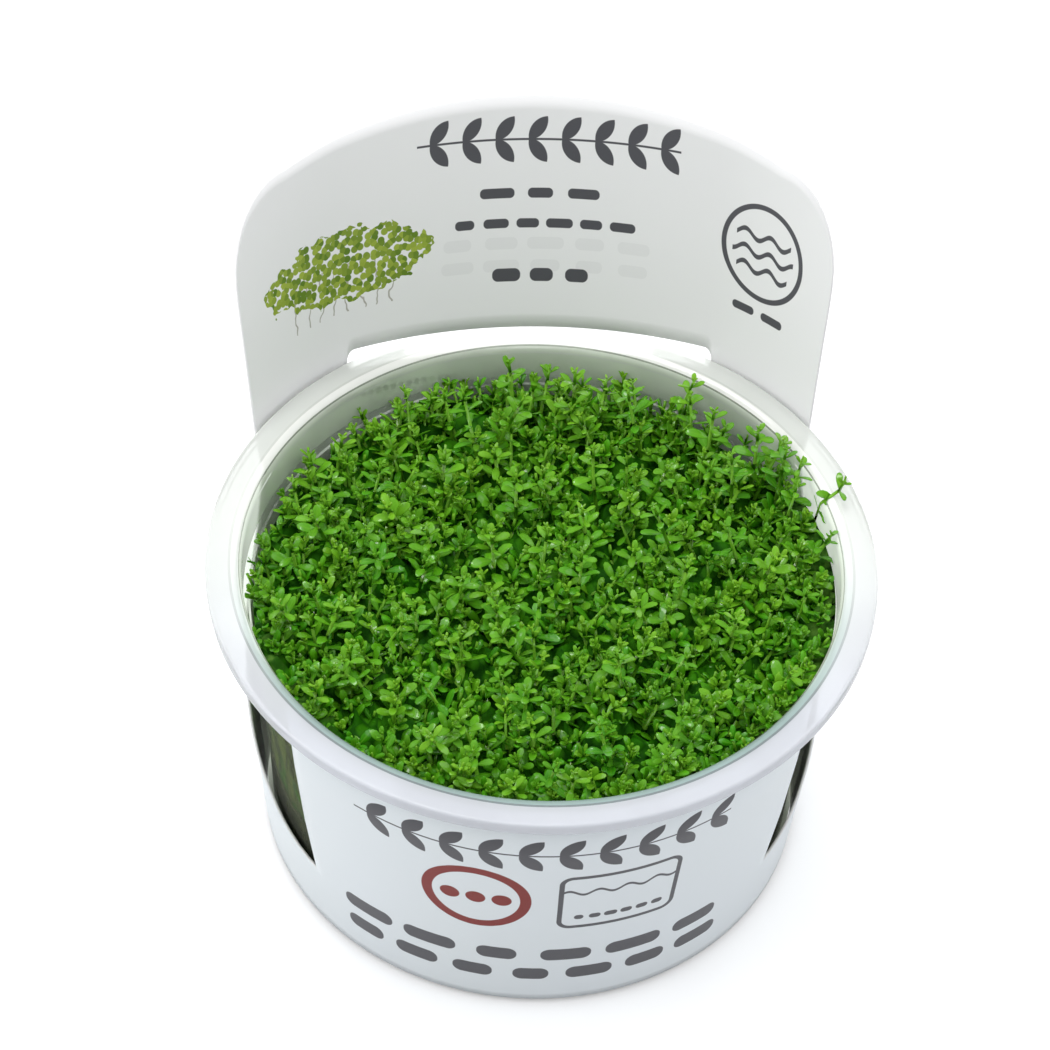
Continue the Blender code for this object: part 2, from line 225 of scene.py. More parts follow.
camera = make_camera()
print("lens in mm:", round(camera.data.lens, 1))

# %% [markdown]
# ## Floor and light
#
# The tub stands on plain white in a light tent, as for a catalogue. The world is the tent: bright at both
# sides, above and behind, dimmer in front, where the camera looks in. That is why the card is brightest at
# its two sides. The floor looks white but sends less light back up, so the middle of the card stays a little
# grey. One lamp hangs above and behind, where it adds gloss to the bright ring on the plastic rim, which is
# mostly painted highlight, and draws the glints on wet leaves. A weaker one stands at the left.

# %% Set the stage
FLOOR_SIDE = 6.0
FLOOR_COLOUR = (0.97, 0.97, 0.975)
FLOOR_BOUNCE = 0.58
FLOOR_LIFT = 0.16
FLOOR_ROUGHNESS = 0.8
TENT_COLOUR = (0.98, 0.99, 1.0)
TENT_STRENGTH = 1.2
FRONT_STRENGTH = 0.06
BRIGHT_BEHIND, BRIGHT_ABOVE, BRIGHT_ASIDE = (0.0, 0.7), (0.25, 0.85), (0.08, 0.75)
LAMPS = {
    # name: place, side of the square, watts, colour
    "overhead": (Vector((-0.12, 0.20, 0.85)), 0.35, 2.2, (1.0, 0.99, 0.97)),
    "left_side": (Vector((-0.75, -0.10, 0.45)), 0.40, 1.0, WHITE),
}
LAMP_AIM = Vector((0, 0, 0.04))


def make_floor():
    """A wide sheet under the tub, white to look at, that throws back only part of the light."""
    material, tree, shader = new_material("pale_floor")
    ray = add(tree, "LightPath")
    dimmed = tuple(part * FLOOR_BOUNCE for part in FLOOR_COLOUR)
    fill(tree, shader, {
        "Base Color": blend(tree, ray["Is Diffuse Ray"], FLOOR_COLOUR, dimmed),
        "Roughness": FLOOR_ROUGHNESS,
        "Emission Color": (*WHITE, 1),
        "Emission Strength": Number(tree, ray["Is Camera Ray"]) * FLOOR_LIFT,
    })
    bm = bmesh.new()
    bmesh.ops.create_grid(bm, x_segments=1, y_segments=1, size=FLOOR_SIDE / 2)
    mesh = bpy.data.meshes.new("floor")
    bm.to_mesh(mesh)
    bm.free()
    mesh.materials.append(material)
    floor = new_object("floor", mesh)


def make_world():
    """The tent's light by direction; the camera itself sees plain white."""
    world = bpy.data.worlds.new("light_tent")
    world.use_nodes = True
    tree = world.node_tree
    tree.nodes.clear()
    aside, behind, above = split(tree, add(tree, "TexCoord")["Generated"])
    share = behind.ramp(*BRIGHT_BEHIND).step("MAXIMUM", above.ramp(*BRIGHT_ABOVE))
    share = abs(aside).ramp(*BRIGHT_ASIDE).step("MAXIMUM", share)
    strength = share.step("MULTIPLY_ADD", TENT_STRENGTH - FRONT_STRENGTH, FRONT_STRENGTH)
    tent = add(tree, "Background", {"Color": (*TENT_COLOUR, 1), "Strength": strength})[0]
    white = add(tree, "Background", {"Color": (*WHITE, 1)})[0]
    seen = add(tree, "LightPath")["Is Camera Ray"]
    add(tree, "OutputWorld", {"Surface": add(tree, "MixShader", {0: seen, 1: tent, 2: white})[0]})
    bpy.context.scene.world = world


def make_lamp(name, place, side, watts, colour):
    """A square soft light that faces the tub."""
    light = bpy.data.lights.new(name, "AREA")
    light.shape = "SQUARE"
    light.size = side
    light.energy = watts
    light.color = colour
    lamp = new_object(name, light)
    lamp.location = place
    lamp.rotation_mode = "QUATERNION"
    lamp.rotation_quaternion = (LAMP_AIM - place).to_track_quat("-Z", "Y")


make_floor()
make_world()
for name, values in LAMPS.items():
    make_lamp(name, *values)
bpy.context.scene.view_settings.view_transform = "Standard"

# %% [markdown]
# ## Shared surface grain
#
# Plastic, card, jelly and leaves are none of them perfectly even. One group makes a fine grain from noise
# and gives back a roughness that it spreads a little and the bent normal, so every finish can use it at its
# own scale.

# %% The grain group
def make_grain_group():
    inputs = {"Scale": 500.0, "Depth": 0.00002, "Gloss": 0.3, "Spread": 0.05}
    outputs = {"Roughness": FLOAT, "Normal": VECTOR}
    group, place, (scale, depth, gloss, spread), wanted = new_group("grain", inputs, outputs)
    height = noise(group, place, scale)
    roughness = (height - 0.5).step("MULTIPLY_ADD", spread, gloss)
    bump = add(group, "Bump", {"Strength": 1.0, "Distance": depth, "Height": height})
    fill(group, wanted, {"Roughness": roughness, "Normal": bump[0]})
    return group


grain = make_grain_group()
print("groups:", [group.name for group in bpy.data.node_groups])

# %% [markdown]
# ## Helpers for meshes
#
# A piece is shaped in a bmesh and then becomes an object that sits at the origin. It rides on the one body
# of this object, stands for the solids whose place it takes, and names the slot of its finish.

# %% Mesh helpers
TINY = 1e-6
MOST_OF_SIDE = 0.45


def clamped(value, most=1.0):
    """A value kept between 0 and a greatest one."""
    return min(most, max(0.0, value))


def turn_of(vert):
    """The direction of a corner seen from the axis."""
    return math.atan2(vert.co.y, vert.co.x)


def add_piece(name, bm, materials, stands_for, smooth_angle):
    """Turns a bmesh into a finished piece."""
    mesh = bpy.data.meshes.new(name)
    bm.to_mesh(mesh)
    bm.free()
    for material in materials:
        mesh.materials.append(material)
    mesh.shade_smooth()
    mesh.set_sharp_from_angle(angle=math.radians(smooth_angle))
    piece = new_object(name, mesh)
    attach(piece, "root")
    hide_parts(*stands_for)
    print(name, "faces:", len(mesh.polygons))
    return piece


def rounded(outline, cuts):
    """Replaces each corner that has a radius, its third number in millimetres, by a short arc."""
    points = []
    for index, (across, up, radius_mm) in enumerate(outline):
        here = Vector((across, up))
        if radius_mm == 0:
            points.append(tuple(here))
            continue
        before = Vector(outline[index - 1][:2]) - here
        after = Vector(outline[index + 1][:2]) - here
        reach = radius_mm / 1000 / math.tan(before.angle(after) / 2)
        reach = min(reach, MOST_OF_SIDE * before.length, MOST_OF_SIDE * after.length)
        start = here + before.normalized() * reach
        end = here + after.normalized() * reach
        for cut in range(cuts + 1):
            share = cut / cuts
            points.append(tuple(start.lerp(here, share).lerp(here.lerp(end, share), share)))
    return points


def turned(outline, cuts, steps):
    """A closed turned shape from a rounded outline that starts and ends on the axis."""
    bm = bmesh.new()
    corners = [bm.verts.new((radius, 0, height)) for radius, height in rounded(outline, cuts)]
    edges = [bm.edges.new(pair) for pair in zip(corners, corners[1:])]
    bmesh.ops.spin(
        bm, geom=corners + edges, cent=(0, 0, 0), axis=(0, 0, 1),
        angle=2 * math.pi, steps=steps, use_merge=True,
    )
    bmesh.ops.remove_doubles(bm, verts=bm.verts, dist=TINY)
    bmesh.ops.recalc_face_normals(bm, faces=bm.faces)
    return bm


print("mesh helpers ready")

# %% [markdown]
# ## The cup
#
# The cup is pressed from one thin clear sheet, so every edge is soft: a flat foot, a wall that tapers by
# about three degrees, a small step on which cups stack, a rolled inner edge and a wide flange whose edge is
# turned down. It is turned from one outline, as the solid is, with arcs for its corners and many more steps.
# The sheet has its true thickness and a few finishes, all part see-through and part white. Their colours
# hold painted light and shade: most are painted lighter behind and darker in front. The wall is clear with a
# green-grey mist; above the step it is painted dark in front as shade from the plants. The step's ledge is
# painted whiter, with broken streaks of painted highlight. The rim keeps more of the sheet and is milky, but
# it is clear where it passes through the card's slot, so that the white behind it shows. The rolled edge
# lies between. Its finish paints a warm white highlight ring behind and a darker cool tint in front, where
# the plants show through it, with two thin painted shade lines beside it. A full index would bend the view
# through so thin a sheet too strongly, so the index is low and a coat gives the gloss.

# %% Turn the cup
CUP_TOP = 0.0520
FLANGE_RADIUS = 0.0475
FLANGE_THICKNESS = 0.0009
LIP_DROP = 0.0018
LIP_THICKNESS = 0.0008
WALL = 0.0007
CUP_FLOOR = 0.0008
FOOT_RADIUS = 0.0386
WALL_LOW = 0.0396
WALL_AT_STEP = 0.0420
WALL_TOP = 0.0431
TOP_TAPER = 0.0001
STEP_HEIGHT = 0.0444
STEP_RISE = 0.0010
LEDGE_BACK, LEDGE_FRONT = 0.8, 0.26
FOOT_ROUNDING = 0.0008
INNER_TOP = WALL_TOP - WALL
ROLL = 0.0019
ARC_CUTS = 10
CUP_STEPS = 192
UPWARD = 0.1
CREASE_MIDDLE = 0.0439
CREASE_FLAT_RADIUS = 0.0770
SLOT_HALF = 0.0272
CARD_CLEARANCE = 0.0001
PAINTED_LIGHT_FRONT_TO_BACK = (-0.034, 0.012)
COAT_ROUGHNESS = 0.06
CUP_FINISHES = {
    # name: colour in front and behind, with painted light and shade between them, dullest streak, share let
    # through, index, coat in front and behind
    "clear_wall": ((0.60, 0.64, 0.50), (0.80, 0.87, 0.77), 0.93, 0.94, 1.0, 0.0, 0.0),
    # the misted wall is painted dark in front as shade from the plants, and light behind as painted light
    "misted_wall_painted_shade": ((0.35, 0.40, 0.30), (0.92, 0.97, 0.87), 0.90, 0.50, 1.0, 0.0, 0.8),
    "outer_wall": ((0.60, 0.64, 0.50), (0.88, 0.92, 0.86), 0.93, 0.94, 1.0, 0.0, 0.0),
    # the ledge is painted whiter than the wall, with broken streaks of painted highlight
    "ledge_painted_highlight": ((0.70, 0.76, 0.64), (0.96, 1.00, 0.92), 0.40, 0.55, 1.04, 0.0, 1.0),
    "milky_rim": ((0.77, 0.785, 0.83), (0.83, 0.85, 0.82), 0.96, 0.46, 1.10, 0.4, 0.4),
    "rim_past_card": (WHITE, WHITE, 0.97, 0.94, 1.0, 0.4, 0.4),
    # the rolled edge is painted white behind as a highlight ring, and darker in front as shade
    "rolled_edge_painted_light": ((0.40, 0.54, 0.52), (1.00, 1.00, 0.97), 0.96, 0.42, 1.10, 1.0, 1.0),
    # two thin painted shade lines run beside the ring
    "soft_painted_shade_line": ((0.36, 0.41, 0.42), (0.86, 0.88, 0.84), 0.96, 0.55, 1.10, 0.0, 0.0),
    "dark_painted_shade_line": ((0.30, 0.34, 0.28), (0.36, 0.40, 0.33), 0.96, 0.60, 1.04, 0.0, 0.0),
}
ROLL_BANDS = (
    # finishes from the flat rim down to the wall, and the share of the roll past which each lies:
    # a painted highlight ring between two painted shade lines
    ("soft_painted_shade_line", 0.81), ("rolled_edge_painted_light", 0.25), ("dark_painted_shade_line", 0.16),
)


def plastic(name, front, back, dull, clearness, index, coat_front, coat_back):
    """Smooth plastic that lets part of the light through and scatters the rest."""
    material, tree, shader = new_material(name)
    place = object_place(tree)
    # Painted light and shade: the colour goes from the darker front one to the lighter one behind across
    # this band
    to_back = split(tree, place)[1].ramp(*PAINTED_LIGHT_FRONT_TO_BACK)
    # Streaks of lighter and duller sheet; where the dullest is low, as on the ledge, they are painted broken
    # highlights
    streaks = noise(tree, place, 55.0, 1.0).ramp(0.42, 0.60)
    cloud = blend(tree, streaks, (dull, dull, dull), WHITE)
    ripple = {"Place": place, "Scale": 90.0, "Depth": 0.00003, "Gloss": 0.07, "Spread": 0.04}
    surface = use(tree, grain, ripple)
    coat = coat_back
    if coat_front != coat_back:
        coat = to_back.step("MULTIPLY_ADD", coat_back - coat_front, coat_front)
    fill(tree, shader, {
        "Base Color": blend(tree, 1.0, blend(tree, to_back, front, back), cloud, "MULTIPLY"),
        "Roughness": surface["Roughness"], "Normal": surface["Normal"],
        "Transmission Weight": clearness, "IOR": index,
        "Coat Weight": coat, "Coat Roughness": COAT_ROUGHNESS,
    })
    return material


def card_line(x):
    """How far back the card runs where the flange passes through its slot."""
    return CREASE_MIDDLE - x**2 / (2 * CREASE_FLAT_RADIUS) if abs(x) < SLOT_HALF else FLANGE_RADIUS


def cup_finish_at(face):
    """Which finish a face of the cup takes, by where it lies."""
    middle = face.calc_center_median()
    distance = middle.xy.length
    faces_out = face.normal.xy.dot(middle.xy) > 0
    if middle.z < STEP_HEIGHT:
        return "clear_wall"
    if middle.z < STEP_HEIGHT + STEP_RISE:
        on_ledge = distance < WALL_AT_STEP - WALL / 2
        # The ledge's inner half takes the painted highlight
        return "outer_wall" if faces_out else "ledge_painted_highlight" if on_ledge else "clear_wall"
    if middle.z < CUP_TOP - ROLL:
        return "outer_wall" if faces_out else "misted_wall_painted_shade"
    share = (distance - INNER_TOP) / ROLL
    if share > 1 or face.normal.z < UPWARD:
        past_card = middle.y > card_line(middle.x) + CARD_CLEARANCE
        return "rim_past_card" if past_card else "milky_rim"
    # Across the roll: the painted highlight ring between painted shade lines
    return next((name for name, start in ROLL_BANDS if share > start), "misted_wall_painted_shade")


def make_cup():
    under = CUP_TOP - FLANGE_THICKNESS
    bm = turned([
        # distance from the axis, height, radius of the corner in millimetres
        (0, 0, 0),
        (FOOT_RADIUS, 0, 0.4),
        (WALL_LOW, 2 * FOOT_ROUNDING, 0.6),
        (WALL_AT_STEP, STEP_HEIGHT, 0.3),
        (WALL_TOP - TOP_TAPER, STEP_HEIGHT + STEP_RISE, 0.3),
        (WALL_TOP, under, 0.3),
        (FLANGE_RADIUS - LIP_THICKNESS, under, 0.2),
        (FLANGE_RADIUS - LIP_THICKNESS, CUP_TOP - LIP_DROP, 0.1),
        (FLANGE_RADIUS, CUP_TOP - LIP_DROP, 0.1),
        (FLANGE_RADIUS, CUP_TOP, 0.5),
        (INNER_TOP, CUP_TOP, 1000 * ROLL),
        (INNER_TOP - TOP_TAPER, STEP_HEIGHT + LEDGE_BACK * STEP_RISE, 0.3),
        (WALL_AT_STEP - WALL / 2, STEP_HEIGHT + LEDGE_FRONT * STEP_RISE, 0),
        (WALL_AT_STEP - WALL, STEP_HEIGHT, 0.25),
        (WALL_LOW - WALL, CUP_FLOOR + 2 * FOOT_ROUNDING, 0.6),
        (FOOT_RADIUS - WALL, CUP_FLOOR, 0.4),
        (0, CUP_FLOOR, 0),
    ], ARC_CUTS, CUP_STEPS)
    names = list(CUP_FINISHES)
    for face in bm.faces:
        face.material_index = names.index(cup_finish_at(face))
    finishes = [plastic(name, *values) for name, values in CUP_FINISHES.items()]
    add_piece("clear_cup", bm, finishes, ["cup"], smooth_angle=60)


make_cup()

# %% [markdown]
# ## The card's shape
#
# The label is one die-cut sheet. It wraps the cup as a sleeve, leaves two windows at the sides, and behind
# the cup it is let go from the wall, passes the flange, which is pushed through a slot, and leans back as a
# domed panel. A point of the flat card is known by its distance s from the back's middle line and by its
# height. A few functions bend it to its place, the same as for the solid, and the sheet is only cut finer.

# %% Bend the flat card
CARD = 0.0004
CARD_BOTTOM = 0.0010
SLEEVE_LOW = 0.0401
SLEEVE_SLOPE = 0.075
SLEEVE_TOP = 0.0499
RELEASE_HEIGHT = 0.0160
CREASE_HEIGHT = 0.0500
CREASE_RADIUS = 0.0480
PANEL_TOP_LEVEL = 0.0940
PANEL_TOP_MIDDLE = 0.0599
PANEL_TOP_RADIUS = 0.0766
PANEL_APEX = 0.0877
PANEL_HALF = 0.0480
CORNER_LEVEL = 0.0712
CORNER_RADIUS = 0.0105
DOME_RADIUS = 0.1650
NARROWING = 0.0016
NARROWING_FROM = 0.0690
NARROWING_TO = 0.0350
NARROWING_ENDS = 0.0240
NARROWING_FADES = 0.0600
PANEL_THIRD = 0.0615
SLOT_LOW = 0.0498
SLOT_HIGH = 0.0532
SLOT_ROUNDING = 0.0012
BIB_EDGE = 0.0926
BIB_INSET = 0.0024
BIB_SPRING = 0.0005
BIB_SPRING_WIDTH = 0.0160
BAND_AT_PANEL = 0.0460
BAND_AT_BIB = 0.0135
BAND_SWEEP = 1.7
SLEEVE_TURN = SLEEVE_LOW + SLEEVE_SLOPE * RELEASE_HEIGHT
HALF_TURN = math.pi * SLEEVE_TURN


def above_band(height):
    """How far up the front a height lies, from the low band at 0 to the front's top at 1."""
    return max(0.0, height - BAND_AT_BIB) / (SLEEVE_TOP - BAND_AT_BIB)


def sleeve_point(s, height):
    """The card where it is wrapped round the cup; the bib's cut sides spring out a little."""
    angle = s / SLEEVE_TURN
    radius = SLEEVE_LOW + SLEEVE_SLOPE * height
    from_side = 1 - abs(abs(s) - BIB_EDGE) / BIB_SPRING_WIDTH
    radius += BIB_SPRING * max(0.0, from_side) ** 2 * math.sin(math.pi * min(1.0, above_band(height)))
    return Vector((radius * math.sin(angle), radius * math.cos(angle), height))


def crease_point(s):
    """The card level with the flange: nearly flat behind the wall, then round the flange's edge."""
    centre = CREASE_MIDDLE - CREASE_FLAT_RADIUS
    y = (CREASE_RADIUS**2 - CREASE_FLAT_RADIUS**2 + centre**2) / (2 * centre)
    x = math.sqrt(CREASE_RADIUS**2 - y**2)
    flat_length = CREASE_FLAT_RADIUS * math.asin(x / CREASE_FLAT_RADIUS)
    side = math.copysign(1.0, s)
    if abs(s) <= flat_length:
        turn = abs(s) / CREASE_FLAT_RADIUS
        across = CREASE_FLAT_RADIUS * math.sin(turn)
        return Vector((side * across, centre + CREASE_FLAT_RADIUS * math.cos(turn), CREASE_HEIGHT))
    angle = math.atan2(x, y) + (abs(s) - flat_length) / CREASE_RADIUS
    across = CREASE_RADIUS * math.sin(angle)
    return Vector((side * across, CREASE_RADIUS * math.cos(angle), CREASE_HEIGHT))


def panel_point(s):
    """The card at the level above the panel's top to which it leans back."""
    turn = s / PANEL_TOP_RADIUS
    back = PANEL_TOP_MIDDLE - PANEL_TOP_RADIUS * (1 - math.cos(turn))
    return Vector((PANEL_TOP_RADIUS * math.sin(turn), back, PANEL_TOP_LEVEL))


def narrowed(s, height):
    """The panel's sides come together a little on the way down."""
    full = NARROWING * clamped((NARROWING_FROM - height) / (NARROWING_FROM - NARROWING_TO))
    full *= clamped((height - RELEASE_HEIGHT) / (NARROWING_ENDS - RELEASE_HEIGHT))
    if abs(s) <= PANEL_HALF:
        return s * (1 - full / PANEL_HALF)
    fade = clamped((NARROWING_FADES - abs(s)) / (NARROWING_FADES - PANEL_HALF))
    return s - math.copysign(full * fade, s)


def on_card(s, height):
    """Bends a point of the flat card to its place."""
    if abs(s) > BIB_EDGE - TINY:
        share = (HALF_TURN - abs(s)) / (HALF_TURN - BIB_EDGE)
        return sleeve_point(s - math.copysign(BIB_INSET * above_band(height) * share, s), height)
    if height <= RELEASE_HEIGHT:
        return sleeve_point(s, height)
    s = narrowed(s, height)
    if height <= CREASE_HEIGHT:
        share = (height - RELEASE_HEIGHT) / (CREASE_HEIGHT - RELEASE_HEIGHT)
        return sleeve_point(s, RELEASE_HEIGHT).lerp(crease_point(s), share)
    share = (height - CREASE_HEIGHT) / (PANEL_TOP_LEVEL - CREASE_HEIGHT)
    return crease_point(s).lerp(panel_point(s), share)


def panel_edge(s):
    """The height of the panel's domed top, with its rounded corners."""
    s = abs(s)
    corner = PANEL_HALF - CORNER_RADIUS
    dome = PANEL_APEX - (DOME_RADIUS - math.sqrt(DOME_RADIUS**2 - min(s, corner)**2))
    if s <= corner:
        return dome
    across = min(1.0, (s - corner) / CORNER_RADIUS)
    return CORNER_LEVEL + (dome - CORNER_LEVEL) * math.sqrt(1 - across**2)


def band_edge(s):
    """The upper edge of the low band, which sweeps up from the front to the panel's side."""
    share = clamped((BIB_EDGE - abs(s)) / (BIB_EDGE - PANEL_HALF))
    rise = 1 - (1 - share**BAND_SWEEP) ** (1 / BAND_SWEEP)
    return BAND_AT_BIB + (BAND_AT_PANEL - BAND_AT_BIB) * rise


print("panel's top edge in mm:", round(1000 * panel_edge(0), 1))
print("half turn in mm:", round(1000 * HALF_TURN, 1))

# %% [markdown]
# A flat grid becomes the die-cut sheet. Its columns stand closer where an outline turns, its rows follow
# the slot, the windows and the domed top, and the faces of the holes are deleted. Two UV maps keep the
# flat card's own millimetres for the print: one measured from the back's middle line, one from the front's.

# %% Cut the sheet
BAND_CUTS = (4, 8, 3, 2, 4, 5, 3, 4)
WINDOW_BAND, SLOT_BAND = 2, 3
ROWS_CUT_OFF = len(BAND_CUTS) - WINDOW_BAND
MIDDLE_COLUMNS, SIDE_COLUMNS, WINDOW_COLUMNS, FRONT_COLUMNS = 18, 7, 30, 24
WINDOW_CROWDING = 1.6
SLOT_END_DEGREES = range(15, 91, 15)
CORNER_DEGREES = range(9, 91, 9)


def spaced(start, end, count, power=1.0):
    """Values from after the start up to the end, closer to the start for a power above one."""
    return [start + (end - start) * (step / count) ** power for step in range(1, count + 1)]


def card_columns():
    """Distances from the card's middle line at which it gets a column of corners."""
    corner = PANEL_HALF - CORNER_RADIUS
    half = [0.0] + spaced(0.0, SLOT_HALF, MIDDLE_COLUMNS)
    half += [SLOT_HALF + SLOT_ROUNDING * math.sin(math.radians(turn)) for turn in SLOT_END_DEGREES]
    half += spaced(SLOT_HALF + SLOT_ROUNDING, corner, SIDE_COLUMNS)
    half += [corner + CORNER_RADIUS * math.sin(math.radians(turn)) for turn in CORNER_DEGREES]
    half += spaced(PANEL_HALF, BIB_EDGE, WINDOW_COLUMNS, WINDOW_CROWDING)
    half += spaced(BIB_EDGE, HALF_TURN, FRONT_COLUMNS)
    return [-s for s in reversed(half[1:])] + half


def main_rows(s):
    """The heights at which one column meets the card's outlines."""
    if abs(s) > BIB_EDGE - TINY:
        return [CARD_BOTTOM, BAND_AT_BIB / 2, BAND_AT_BIB] + [SLEEVE_TOP] * ROWS_CUT_OFF
    if abs(s) > PANEL_HALF + TINY:
        edge = band_edge(s)
        return [CARD_BOTTOM, min(RELEASE_HEIGHT, edge / 2), edge] + [CREASE_HEIGHT] * ROWS_CUT_OFF
    beyond = max(0.0, (abs(s) - SLOT_HALF) / SLOT_ROUNDING)
    slot_half = (SLOT_HIGH - SLOT_LOW) / 2 * math.sqrt(max(0.0, 1 - beyond**2))
    slot_middle = (SLOT_LOW + SLOT_HIGH) / 2
    top = panel_edge(s)
    shoulder = min(CORNER_LEVEL, top)
    return [
        CARD_BOTTOM, RELEASE_HEIGHT, BAND_AT_PANEL, slot_middle - slot_half, slot_middle + slot_half,
        PANEL_THIRD, shoulder, (shoulder + top) / 2, top,
    ]


def card_rows(s):
    """All heights of one column: the stretches between its outlines are divided evenly."""
    main = main_rows(s)
    rows = [main[0]]
    for low, high, cuts in zip(main, main[1:], BAND_CUTS):
        rows += spaced(low, high, cuts)
    return rows


def cut_away(middle, band):
    """True where the flat card has no material: the slot, the side windows, and above the front."""
    in_slot = band == SLOT_BAND and middle < SLOT_HALF + SLOT_ROUNDING
    in_window = band >= WINDOW_BAND and PANEL_HALF < middle < BIB_EDGE
    above_front = band >= SLOT_BAND and middle > BIB_EDGE
    return in_slot or in_window or above_front


def make_sheet():
    """The bent sheet of no thickness, with the flat card's millimetres in its UV maps."""
    columns = card_columns()
    band_of_row = [band for band, cuts in enumerate(BAND_CUTS) for cut in range(cuts)]
    rows = [card_rows(s) for s in columns]
    last_column, last_row = len(columns) - 1, len(band_of_row)
    bm = bmesh.new()
    bmesh.ops.create_grid(bm, x_segments=last_column, y_segments=last_row, size=1.0)
    from_back = bm.loops.layers.uv.new("from_back_mm")
    from_front = bm.loops.layers.uv.new("from_front_mm")
    unwanted = []
    flat = {}
    for vert in bm.verts:
        column = round((vert.co.x + 1) / 2 * last_column)
        row = round((vert.co.y + 1) / 2 * last_row)
        flat[vert] = (column, row)
    for face in bm.faces:
        column = min(flat[vert][0] for vert in face.verts)
        row = min(flat[vert][1] for vert in face.verts)
        middle = (columns[column] + columns[column + 1]) / 2
        if cut_away(abs(middle), band_of_row[row]):
            unwanted.append(face)
            continue
        front = math.copysign(HALF_TURN, middle)
        for loop in face.loops:
            column_here, row_here = flat[loop.vert]
            s, height = columns[column_here], rows[column_here][row_here]
            loop[from_back].uv = (1000 * s, 1000 * height)
            loop[from_front].uv = (1000 * (front - s), 1000 * height)
    for vert, (column, row) in flat.items():
        vert.co = on_card(columns[column], rows[column][row])
    bmesh.ops.delete(bm, geom=unwanted, context="FACES")
    bmesh.ops.remove_doubles(bm, verts=bm.verts, dist=TINY)
    bmesh.ops.recalc_face_normals(bm, faces=bm.faces)
    return bm


sheet_bm = make_sheet()
print("sheet corners:", len(sheet_bm.verts), "faces:", len(sheet_bm.faces))

# %% [markdown]
# ## Printing marks
#
# Print is only colour, so it lies in the material and not in the mesh. Plain marks give the card its look: a
# leaf border for a heading, bars for lines of text, a ring with dots, a ring with waves, a fish tank with a
# wavy water line and a picture of a low plant. Each kind of mark is a node group that turns a place on the
# flat card, in millimetres, into a mask.

# %% Groups that draw marks
SOFT_EDGE = 0.10
# Of a row of bars, as shares of its pitch: middle of a bar, half the shortest one, and what chance adds
BAR_MIDDLE, BAR_HALF, BAR_CHANCE = 0.47, 0.29, 0.14
BAR_ROUNDNESS = 0.9
LEAF_SLANT = math.radians(52)
BORDER_STEM_HALF = 0.16
PAIR_FOOT = 0.42
# Of a printed leaf, as shares of its length: its middle, and the two circles' centres and radius
LEAF_MIDDLE, CIRCLE_ASIDE, CIRCLE_RADIUS = 0.525, 0.48, 0.74


def inside(distance):
    """A mask that is 1 where a signed distance is below zero, with a soft edge of print."""
    return 1.0 - distance.ramp(-SOFT_EDGE / 2, SOFT_EDGE / 2)


def length_of(x, y):
    """The length of a step with two parts."""
    return x.step("MULTIPLY_ADD", x, y * y).step("SQRT")


def bar_distance(across, up, half_width, half_height, corner):
    """How far a place lies outside a bar with round corners."""
    past_side = abs(across) - half_width + corner
    past_top = abs(up) - half_height + corner
    outside = length_of(past_side.step("MAXIMUM", 0.0), past_top.step("MAXIMUM", 0.0))
    within = past_side.step("MAXIMUM", past_top).step("MINIMUM", 0.0)
    return outside + within - corner


def make_frame_mark():
    """A bar, or the outline of one where Line is above zero."""
    inputs = {
        "Across": 0.0, "Height": 0.0, "Half Width": 1.0, "Half Height": 1.0, "Corner": 0.1, "Line": 0.0,
    }
    group, place, given, wanted = new_group("printed_frame", inputs, {"Mask": FLOAT})
    across, height, half_width, half_height, corner, line = given
    x, y = split(group, place)[:2]
    distance = bar_distance(x - across, y - height, half_width, half_height, corner)
    outline = abs(distance) - line * 0.5
    chosen = add(group, "Mix", {0: line > 0.0, 2: distance, 3: outline}, data_type="FLOAT")[0]
    fill(group, wanted, {"Mask": inside(Number(group, chosen))})
    return group


def make_words_mark():
    """A row of bars of uneven length, such as stands in for a line of words."""
    inputs = {"Start": 0.0, "End": 10.0, "Height": 0.0, "Half Height": 0.5, "Pitch": 5.0, "Draw": 1.0}
    group, place, given, wanted = new_group("printed_bars", inputs, {"Mask": FLOAT})
    start, end, height, half_height, pitch, draw = given
    x, y = split(group, place)[:2]
    run = (x - start) / pitch
    number = run.step("FLOOR") + draw
    chance = Number(group, add(group, "TexWhiteNoise", {"W": number}, noise_dimensions="1D")["Value"])
    half_bar = pitch * chance.step("MULTIPLY_ADD", BAR_CHANCE, BAR_HALF)
    from_middle = (run.step("FRACT") - BAR_MIDDLE) * pitch
    corner = half_height * BAR_ROUNDNESS
    distance = bar_distance(from_middle, y - height, half_bar, half_height, corner)
    fill(group, wanted, {"Mask": inside(distance) * ((x > start) * (x < end))})
    return group


def make_border_mark():
    """A border of pointed leaves in pairs along a thin stem."""
    inputs = {"Start": 0.0, "End": 10.0, "Height": 0.0, "Pitch": 4.0, "Leaf": 3.4}
    group, place, given, wanted = new_group("printed_border", inputs, {"Mask": FLOAT})
    start, end, height, pitch, leaf = given
    x, y = split(group, place)[:2]
    along = (((x - start) / pitch).step("FRACT") - PAIR_FOOT) * pitch
    beside = abs(y - height)
    # The leaf's own axes: one along its rib from the stem, one across it
    rib = along.step("MULTIPLY_ADD", math.cos(LEAF_SLANT), beside * math.sin(LEAF_SLANT))
    rib = rib - leaf * LEAF_MIDDLE
    across = abs(along.step("MULTIPLY_ADD", -math.sin(LEAF_SLANT), beside * math.cos(LEAF_SLANT)))
    # A pointed leaf is what two circles share
    off_leaf = length_of(rib, across + leaf * CIRCLE_ASIDE) - leaf * CIRCLE_RADIUS
    both = off_leaf.step("MINIMUM", beside - BORDER_STEM_HALF)
    fill(group, wanted, {"Mask": inside(both) * ((x > start) * (x < end))})
    return group


